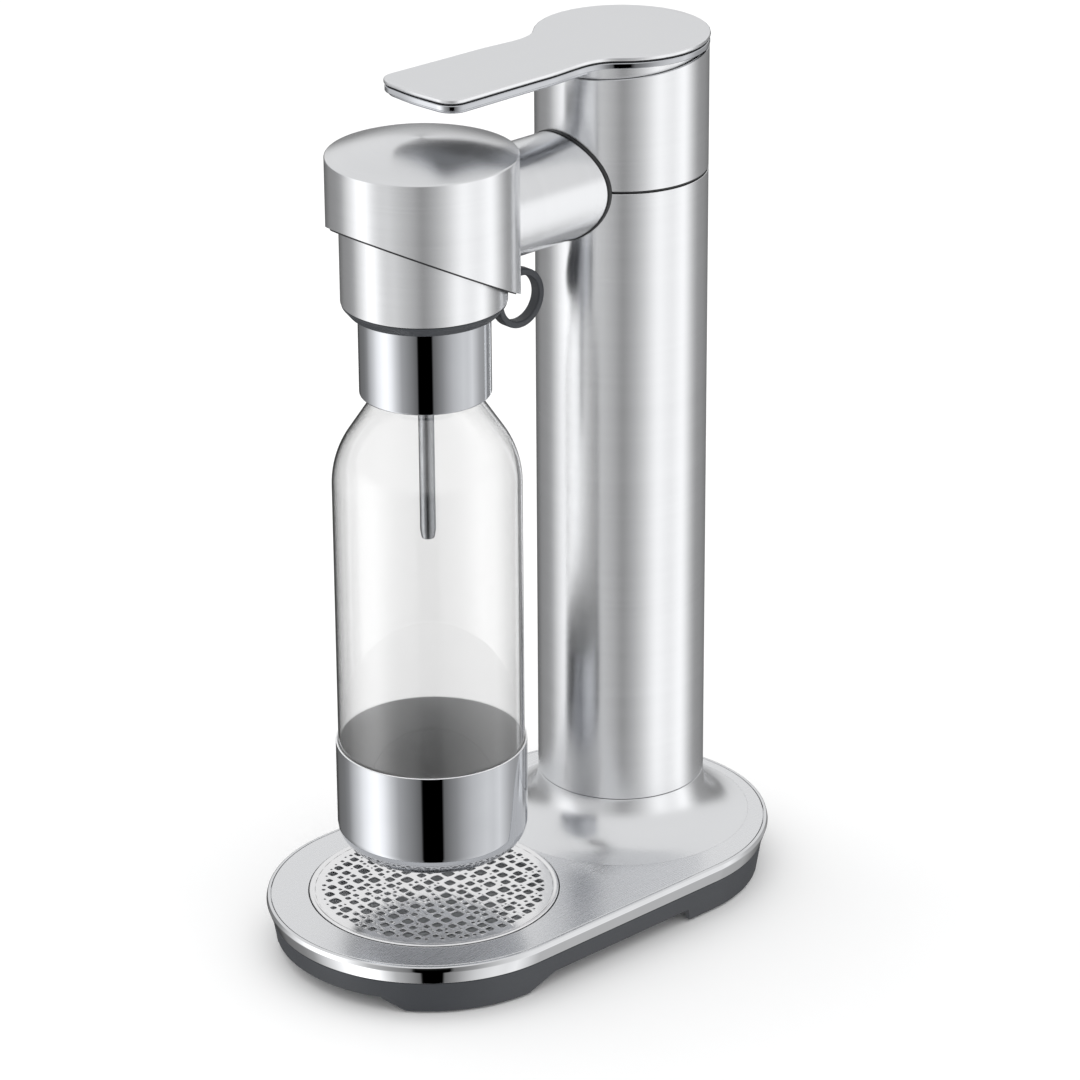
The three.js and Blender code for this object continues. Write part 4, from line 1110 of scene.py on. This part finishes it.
@dataclass
class Cap(Assembly):
    """The bottle's cap: a wall with a slanted top, a dark ring under it, the ring pull and the gas tube."""

    radius: float = 37.2
    sheet: float = 1.5
    slant: float = 344.0  # height of the slanted top on the cap's axis
    top: float = 380.0  # above the slanted top all round
    ring_inner: float = 30.2
    ring_outer: float = 33.6
    ear_start: float = 34.0
    pull_r: float = 14.0
    pull_thick: float = 3.2
    tube_bore: float = 1.6
    ears: tuple[float, float] = (3.6, 6.0)  # inner and outer faces of the ring pull's ears

    def build(self) -> None:
        """Make the cap's pieces."""
        low = node_box("cap_body")[0].z
        inner, outer = self.radius - self.sheet, self.radius
        wall = turn(
            [Corner(inner, low), Corner(outer, low, 0.4), Corner(outer, self.top), Corner(inner, self.top)],
            y=FRONT_Y,
        )
        wall = carve(wall, slanted(self.slant, 480.0))
        self.piece("cap_wall", wall, "cap", "brushed_metal", HEAD_STEEL, ["cap_body"])
        self.dark_ring()
        self.ring_pull()
        self.tube()

    def dark_ring(self) -> None:
        """Mould the dark ring, with the ears that carry the ring pull."""
        low, high = node_box("cap_ring")
        top = node_box("cap_body")[0].z - 0.3
        bottom = top - 4.7
        ring = turn(
            [
                Corner(self.ring_inner, bottom, 0.3),
                Corner(self.ring_outer, bottom, 0.8),
                Corner(self.radius - 0.4, top - 0.8, 0.6),
                Corner(self.radius - 0.4, top),
                Corner(self.ring_inner, top),
            ],
            y=FRONT_Y,
        )
        for side in (-1, 1):
            near, far = sorted(side * face for face in self.ears)
            ear = block((near, FRONT_Y + self.ear_start, low.z), (far, high.y, top), 0.5)
            ring = carve(ring, ear, how=Carve.JOIN)
        self.piece("cap_collar", ring, "cap", "dark_plastic", DARK_ABS, ["cap_ring"])

    def ring_pull(self) -> None:
        """Mould the ring pull: a round band on a short stem that turns on its pin."""
        low, high = node_box("ring_pull")
        _, pin_y, pin_z = centre("ring_pull_pin")
        y, z, half = high.y - self.pull_r, centre("ring_pull")[2], high.x
        inner = self.pull_r - self.pull_thick
        sides = ((inner, -half), (self.pull_r, -half), (self.pull_r, half), (inner, half))
        band = turn([Corner(r, side, 0.9) for r, side in sides], SOCKET_STEPS)
        band = shifted(tipped(band, 90, "Y"), 0, y, z)
        knuckle_r = 2.4
        knuckle = shifted(bar(knuckle_r, -half, half, "X", SMALL_STEPS, 0.4), 0, pin_y, pin_z)
        stem = block((-half, pin_y, pin_z - knuckle_r), (half, y - self.pull_r + 2.2, pin_z + 0.6), 0.5)
        nose = block((-half, low.y, pin_z - 1.6), (half, pin_y, pin_z + 0.4), 0.4)
        pull = carve(band, knuckle, stem, nose, how=Carve.JOIN)
        self.piece("pull_ring", pull, "pull", "dark_plastic", DARK_ABS, ["ring_pull"])

    def tube(self) -> None:
        """Draw the thin steel tube that carries gas into the water."""
        low, high = node_box("carbonating_tube")
        radius = (high.x - low.x) / 2
        tube = turn(
            [
                Corner(self.tube_bore, low.z + 0.4),
                Corner(radius - 0.7, low.z, 0.5),
                Corner(radius, low.z + 4, 3),
                Corner(radius, high.z),
                Corner(self.tube_bore, high.z),
            ],
            SMALL_STEPS,
            y=FRONT_Y,
        )
        self.piece("gas_tube", tube, "cap", "plain_steel", STEEL, ["carbonating_tube"])


@dataclass
class Bottle(Assembly):
    """The clear bottle with its bright collar and cup."""

    radius: float = 43.0
    wall: float = 0.8
    bottom: float = 54.5
    shoulder: float = 232.0
    neck_r: float = 22.0
    cone: float = 272.0
    collar_r: float = 29.7

    def build(self) -> None:
        """Make the bottle's pieces."""
        self.vessel()
        self.collar()
        self.cup()

    def vessel(self) -> None:
        """Blow the bottle: a round wall, a domed shoulder, a short neck and a foot pushed up inside."""
        rim = node_box("bottle_body")[1].z
        swing = [math.radians(a) for a in range(0, 34, 3)]
        dome = [(self.radius * math.cos(a), self.shoulder + self.radius * math.sin(a)) for a in swing]
        outside = [
            Corner(self.radius - 15, self.bottom, 4),
            Corner(self.radius, self.bottom, 11),
            *[Corner(r, z) for r, z in dome],
            Corner(self.neck_r + 2.4, self.cone + 1, 6),
            Corner(self.neck_r, self.cone + 7, 3),
        ]
        inside = [Corner(c.r - self.wall, c.z, c.ease) for c in outside][::-1]
        inside[-1] = Corner(inside[-1].r, inside[-1].z + self.wall, 4)
        inside[-2] = Corner(inside[-2].r, inside[-2].z + self.wall, 10)
        punt = self.bottom + 7
        vessel = turn(
            [
                Corner(0, punt),
                Corner(12, punt, 8),
                *outside,
                Corner(self.neck_r, rim, 0.4),
                Corner(self.neck_r - 1.9, rim, 0.4),
                *inside,
                Corner(12, punt + self.wall, 8),
                Corner(0, punt + self.wall),
            ],
            loop=False,
            y=FRONT_Y,
        )
        self.piece("clear_bottle", vessel, "bottle", "clear_bottle", PET, ["bottle_body"])

    def collar(self) -> None:
        """Spin the bright collar round the neck."""
        low, high = node_box("bottle_collar")
        r = self.collar_r
        collar = turn(
            [
                Corner(self.neck_r + 4, low.z, 0.3),
                Corner(r, low.z, 0.9),
                Corner(r, high.z, 0.3),
                Corner(r - 1.3, high.z, 0.3),
                Corner(r - 1.3, low.z + 1.5, 0.3),
                Corner(self.neck_r + 4, low.z + 1.5, 0.3),
            ],
            y=FRONT_Y,
        )
        self.piece("bright_collar", collar, "bottle", "polished_metal", CHROME, ["bottle_collar"])

    def cup(self) -> None:
        """Spin the bright cup under the bottle."""
        low, high = node_box("bottle_cup")
        inner = self.radius + 0.3
        outer = inner + 0.9
        cup = turn(
            [
                Corner(0, low.z),
                Corner(outer, low.z, 12),
                Corner(outer, high.z, 0.3),
                Corner(inner, high.z, 0.3),
                Corner(inner, low.z + 1, 11),
                Corner(0, low.z + 1),
            ],
            loop=False,
            y=FRONT_Y,
        )
        made = self.piece("bright_cup", cup, "bottle", "polished_metal", CHROME, ["bottle_cup"])
        made.data.materials.append(CUP_LINING.material())
        for face in made.data.polygons:
            out = face.center - Vector(FRONT_AXIS)
            if face.normal.z > 0.5 or face.normal.x * out.x + face.normal.y * out.y < -1e-4:
                face.material_index = 1


@dataclass
class Lever(Assembly):
    """The press lever: a bright body, a dark seam and a satin cover, all to one outline."""

    disc_r: float = 40.2
    waist: float = 24.0
    reach: float = 126.0
    corner: float = 9.0
    tip_half: float = 24.6
    skirt_bottom: float = 402.0
    skirt_wall: float = 1.6
    boss_half: float = 12.0
    pin_hole: float = 2.65
    pusher_bottom: float = 394.8

    def loop(self, inset: float) -> list[Knot]:
        """Return the lever's outline, drawn in by an inset, as knots with handles from the tower's axis."""
        r = self.disc_r - inset
        tip = -self.reach + inset
        half, waist = self.tip_half - inset, self.waist - inset
        arc = KNOT_REACH * r
        turned = [Vector((math.cos(math.radians(a)), math.sin(math.radians(a)))) for a in (-45, 45)]
        sides = [Vector((-way.y, way.x)) for way in turned]
        flat = half - self.corner
        right = [
            ((0.0, tip - 1.2), (flat, tip), (flat + self.corner * 0.55, tip + 0.2)),
            ((half, tip + self.corner * 0.45), (half, tip + self.corner), (half, tip + self.corner + 12)),
            ((waist, -92.0), (waist, -68.0), (waist, -50.0)),
            (turned[0] * r - sides[0] * 14, turned[0] * r, turned[0] * r + sides[0] * arc),
            (turned[1] * r - sides[1] * arc, turned[1] * r, turned[1] * r + sides[1] * arc),
        ]
        left = [tuple((-x, y) for x, y in knot[::-1]) for knot in right[::-1]]
        return [tuple((x, y, 0.0) for x, y in knot) for knot in [*right, *left]]

    def plate(self, inset: float, low: float, high: float, ease: float) -> BMesh:
        """Make a plate to the lever's outline between two heights."""
        made = flat_plate([self.loop(inset)], high - low, ease)
        return shifted(made, 0, TOWER_Y, (low + high) / 2)

    def build(self) -> None:
        """Make the lever's pieces."""
        low, high = node_box("lever_cover")
        cover = self.plate(0, low.z, high.z, 0.7)
        self.piece("lever_top", cover, "lever", "satin_metal", LEVER_STEEL, ["lever_cover"])
        low, high = node_box("lever_seal")
        seam = self.plate(1.2, low.z - 0.15, high.z + 0.15, 0.1)
        self.piece("lever_seam", seam, "lever", "black_plastic", BLACK_ABS, ["lever_seal"])
        top = low.z - 0.2
        bottom = top - 2.7
        rim = self.plate(0.3, bottom, top, 0.5)
        keel = self.plate(1.4, bottom - 1.5, bottom + 0.6, 0.9)
        front = block((-60, TOWER_Y - 200, 400), (60, TOWER_Y - self.disc_r - 1.5, 430))
        keel = carve(keel, front, how=Carve.KEEP)
        outer = self.disc_r - 2.5
        inner = outer - self.skirt_wall
        skirt = turn(
            [
                Corner(inner, self.skirt_bottom, 0.3),
                Corner(outer, self.skirt_bottom, 0.3),
                Corner(outer, bottom + 0.1),
                Corner(inner, bottom + 0.1),
            ],
            y=TOWER_Y,
        )
        _, pin_y, pin_z = centre("lever_pin")
        boss = block((-self.boss_half, pin_y - 4, pin_z), (self.boss_half, pin_y + 4, bottom + 1), 0.4)
        eye = shifted(bar(4, -self.boss_half, self.boss_half, "X"), 0, pin_y, pin_z)
        pusher = block((-4, TOWER_Y - 1.5, self.pusher_bottom), (4, TOWER_Y + 1.5, bottom + 1), 0.3)
        body = carve(rim, keel, boss, eye, pusher, how=Carve.JOIN)
        past = self.boss_half + CLEAR
        body = carve(body, shifted(bar(self.pin_hole, -past, past, "X"), 0, pin_y, pin_z))
        self.piece("lever_frame", body, "lever", "polished_metal", CHROME, ["lever_body"])
        self.piece("lever_skirt", skirt, "lever", "polished_metal", TOWER_STEEL, ["lever_body"])


@dataclass
class Springs(Assembly):
    """The two coil springs inside, which shorten as the parts that lean on them move."""

    turn_steps: int = 20  # in each turn of a coil
    wire_steps: int = 8  # round the wire
    windings: Mapping[str, tuple[float, int]] = field(  # each coil's wire radius and its turns
        default_factory=lambda: {"plunger_spring": (0.7, 4), "relief_spring": (0.4, 3)}
    )

    def coil(self, node: str, wire: float, turns: int) -> BMesh:
        """Wind round wire into a coil that fills a frame node's box.

        Args:
            node: The frame node.
            wire: The wire's radius.
            turns: How many turns it has.

        Returns:
            The coil.
        """
        low, high = node_box(node)
        reach = (high.x - low.x) / 2 - wire
        climb = high.z - low.z - 2 * wire
        middle = centre(node)[1]
        shape = bmesh.new()
        sections = []
        for i in range(turns * self.turn_steps + 1):
            angle = TAU * i / self.turn_steps
            height = low.z + wire + climb * i / (turns * self.turn_steps)
            around = []
            for k in range(self.wire_steps):
                across = reach + wire * math.cos(TAU * k / self.wire_steps)
                up = height + wire * math.sin(TAU * k / self.wire_steps)
                place = (across * math.cos(angle), middle + across * math.sin(angle), up)
                around.append(shape.verts.new(place))
            sections.append(around)
        for lower, upper in zip(sections, sections[1:]):
            for k in range(self.wire_steps):
                following = (k + 1) % self.wire_steps
                shape.faces.new((lower[k], upper[k], upper[following], lower[following]))
        shape.faces.new(sections[0])
        shape.faces.new(sections[-1][::-1])
        bmesh.ops.recalc_face_normals(shape, faces=shape.faces)
        return shape

    def build(self) -> None:
        """Wind each spring that the frame lets shorten, and tie it to its joint."""
        for joint in frame["joints"]:
            for soft in joint.get("deforming_nodes", ()):
                node = soft["node"]
                wire, turns = self.windings[node]
                coil = self.coil(node, wire, turns)
                made = self.piece(node + "_coil", coil, joint["parent"], "plain_steel", STEEL, [node])
                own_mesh(made)


@dataclass
class Workings(Assembly):
    """The pieces inside, which keep their frame nodes and only get a finish."""

    dress: Mapping[str, Finish] = field(
        default_factory=lambda: {
            "brushed_metal": TOWER_STEEL,
            "satin_metal": LEVER_STEEL,
            "polished_metal": CHROME,
            "dark_plastic": DARK_ABS,
            "black_plastic": BLACK_ABS,
            "rubber_black": RUBBER,
            "clear_bottle": PET,
            "brass": BRASS,
            "plain_steel": STEEL,
            "cast_aluminium": ALUMINIUM,
            "cylinder_paint": ENAMEL,
        }
    )

    def build(self) -> None:
        """Give every frame node the finish of its material slot."""
        for part in frame["record"]["subparts"]:
            node = frame["nodes"][part["node"]]
            material = self.dress[part["material_slot"]].material()
            node.data.materials.clear()
            node.data.materials.append(material)
            self.made.append(part["node"])
        log.info("dressed %d frame nodes", len(self.made))


# ---------- studio ----------
def ring(tree: bpy.types.NodeTree, share: bpy.types.NodeSocket, stops: Stops) -> bpy.types.NodeSocket:
    """Paint a ring of soft boxes round the object, as a ramp over its peak, since a ramp's colours end at 1.

    Args:
        tree: The world's node tree.
        share: How far round the ring a direction is, from 0 to 1.
        stops: The ring's brightness at its stops.

    Returns:
        The socket with the brightness.
    """
    ramp = add_node(tree, "ShaderNodeValToRGB", {0: share})
    marks = ramp.color_ramp.elements
    while len(marks) < len(stops):
        marks.new(0.5)
    peak = max(level for _, level in stops)
    for mark, (angle, level) in zip(marks, stops):
        mark.position = (angle + 180) / 360
        mark.color = (level / peak, level / peak, level / peak, 1.0)
    scaled = {"Factor": 1.0, 6: ramp.outputs[0], 7: (peak, peak, peak, 1.0)}
    return add_node(tree, "ShaderNodeMix", scaled, data_type="RGBA", blend_type="MULTIPLY").outputs[2]


@dataclass(frozen=True)
class Studio:
    """A pale floor, soft light all round and the camera."""

    place: Point = (1.4125, -1.2927, 1.0198)
    pitch: float = 66.49
    roll: float = -0.359
    yaw: float = 47.241
    lens: float = 150.75
    crisp: Stops = (  # what mirrors see
        (-180, 0.05), (-160, 0.08), (-150, 0.19), (-130, 0.27), (-120, 0.38), (-110, 0.7), (-100, 1.0),
        (-90, 1.4), (-80, 1.7), (-70, 1.85), (-60, 1.5), (-50, 0.98), (-40, 0.58), (-30, 0.43),
        (-20, 0.3), (-13, 0.2), (-11, 0.0), (13, 0.0), (15, 0.2), (30, 0.4), (40, 0.6),
        (50, 0.78), (60, 0.9), (70, 1.0), (80, 0.98), (90, 1.1), (100, 0.85), (110, 0.6),
        (120, 0.5), (140, 0.45), (155, 0.25), (180, 0.05),
    )
    soft: Stops = (  # what brushed metal sees
        (-180, 0.1), (-160, 0.13), (-150, 0.2), (-140, 0.29), (-120, 0.34), (-110, 0.42), (-100, 0.8),
        (-90, 1.1), (-80, 1.5), (-70, 1.45), (-60, 0.95), (-50, 0.78), (-40, 0.82), (-30, 0.67),
        (-20, 0.57), (-10, 0.47), (0, 0.3), (10, 0.42), (20, 0.57), (30, 0.77), (40, 1.02),
        (50, 1.25), (60, 1.13), (70, 1.05), (80, 1.18), (90, 1.35), (100, 0.95), (110, 0.58),
        (120, 0.36), (140, 0.3), (155, 0.22), (180, 0.1),
    )
    overhead: float = 0.85
    fill: float = 1.12
    lamp_place: Point = (-0.7, -0.5, 1.9)
    lamp_size: float = 1.4
    lamp_watts: float = 3.0

    def camera(self) -> None:
        """Set the camera."""
        data = bpy.data.cameras.new("camera")
        data.lens = self.lens
        data.sensor_width = 36.0
        data.clip_end = 50.0
        made = bpy.data.objects.new("camera", data)
        made.location = self.place
        round_it, down, about_itself = (
            Matrix.Rotation(math.radians(angle), 3, axis)
            for angle, axis in ((self.yaw, "Z"), (self.pitch, "X"), (self.roll, "Z"))
        )
        made.rotation_euler = (round_it @ down @ about_itself).to_euler()
        bpy.context.scene.collection.objects.link(made)
        bpy.context.scene.camera = made

    def floor(self) -> None:
        """Lay a wide pale floor that mirrors in metal don't show, so that they show the soft boxes."""
        shape = bmesh.new()
        bmesh.ops.create_grid(shape, x_segments=8, y_segments=8, size=12.0)
        made = as_object(shape, "studio_floor")
        material = bpy.data.materials.new("studio_floor_paint")
        material.use_nodes = True
        tree = material.node_tree
        tree.nodes.clear()
        place = add_node(tree, "ShaderNodeTexCoord").outputs["Object"]
        mottling = {"Vector": place, "Scale": 3.0, "Detail": 2.0}
        mottle = add_node(tree, "ShaderNodeTexNoise", mottling).outputs["Fac"]
        tints = {"Factor": mottle, 6: linear("f7f7f7"), 7: linear("fbfbfb")}
        tint = add_node(tree, "ShaderNodeMix", tints, data_type="RGBA").outputs[2]
        paint = add_node(tree, "ShaderNodeBsdfDiffuse", {"Color": tint}).outputs[0]
        clear = add_node(tree, "ShaderNodeBsdfTransparent").outputs[0]
        mirrored = add_node(tree, "ShaderNodeLightPath").outputs["Glossy Depth"]
        mix = add_node(tree, "ShaderNodeMixShader", {0: mirrored, 1: paint, 2: clear}).outputs[0]
        add_node(tree, "ShaderNodeOutputMaterial", {"Surface": mix})
        made.data.materials.append(material)

    def light(self) -> None:
        """Light the scene: even and white on the floor, in soft upright boxes for metal, and from above."""
        world = bpy.data.worlds.new("studio")
        bpy.context.scene.world = world
        world.use_nodes = True
        tree = world.node_tree
        tree.nodes.clear()
        way = add_node(tree, "ShaderNodeTexCoord").outputs["Generated"]
        from_camera = {"Vector": way, "Rotation": (0, 0, -math.atan2(self.place[1], self.place[0]))}
        turned = add_node(tree, "ShaderNodeMapping", from_camera).outputs[0]
        parts = add_node(tree, "ShaderNodeSeparateXYZ", {0: turned})
        flat = {0: parts.outputs[1], 1: parts.outputs[0]}
        round_about = add_node(tree, "ShaderNodeMath", flat, operation="ARCTAN2").outputs[0]
        full_turn = {"Value": round_about, "From Min": -math.pi, "From Max": math.pi}
        share = add_node(tree, "ShaderNodeMapRange", full_turn).outputs[0]
        path = add_node(tree, "ShaderNodeLightPath")
        boxes = {
            "Factor": path.outputs["Is Singular Ray"],
            6: ring(tree, share, self.soft),
            7: ring(tree, share, self.crisp),
        }
        sides = add_node(tree, "ShaderNodeMix", boxes, data_type="RGBA").outputs[2]
        rise = {"Value": parts.outputs[2], "From Min": 0.0, "From Max": 0.25}
        height = add_node(tree, "ShaderNodeMapRange", rise, interpolation_type="SMOOTHSTEP").outputs[0]
        above = {"Factor": height, 6: sides, 7: (self.overhead, self.overhead, self.overhead, 1.0)}
        dome = add_node(tree, "ShaderNodeMix", above, data_type="RGBA").outputs[2]
        bounces = {0: path.outputs["Glossy Depth"], 1: 1.0}
        mirrored = add_node(tree, "ShaderNodeMath", bounces, operation="MINIMUM").outputs[0]
        seen = {"Factor": mirrored, 6: (self.fill, self.fill, self.fill, 1.0), 7: dome}
        shown = add_node(tree, "ShaderNodeMix", seen, data_type="RGBA").outputs[2]
        glow = add_node(tree, "ShaderNodeBackground", {"Color": shown, "Strength": 1.0}).outputs[0]
        add_node(tree, "ShaderNodeOutputWorld", {"Surface": glow})
        data = bpy.data.lights.new("soft_top", "AREA")
        data.shape = "DISK"
        data.size = self.lamp_size
        data.energy = self.lamp_watts
        lamp = bpy.data.objects.new("soft_top", data)
        lamp.location = self.lamp_place
        lamp.rotation_euler = (Vector((0, 0, 0.2)) - lamp.location).to_track_quat("-Z", "Y").to_euler()
        lamp.visible_glossy = False
        bpy.context.scene.collection.objects.link(lamp)

    def build(self) -> None:
        """Set the whole studio."""
        bpy.context.scene.view_settings.view_transform = "Standard"
        self.camera()
        self.floor()
        self.light()


def main() -> None:
    """Build every assembly in order."""
    logging.basicConfig(level=logging.INFO, format="%(name)s: %(message)s")
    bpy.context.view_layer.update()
    Studio().build()
    kinds: Sequence[Callable[[], Assembly]] = (
        Workings, Springs, Base, DripTray, Tower, Arm, Head, Cap, Bottle, Lever,
    )
    for kind in kinds:
        assembly = kind()
        assembly.build()
        log.info("%s done: %d pieces", type(assembly).__name__, len(assembly.made))


if __name__ == "__main__":
    main()
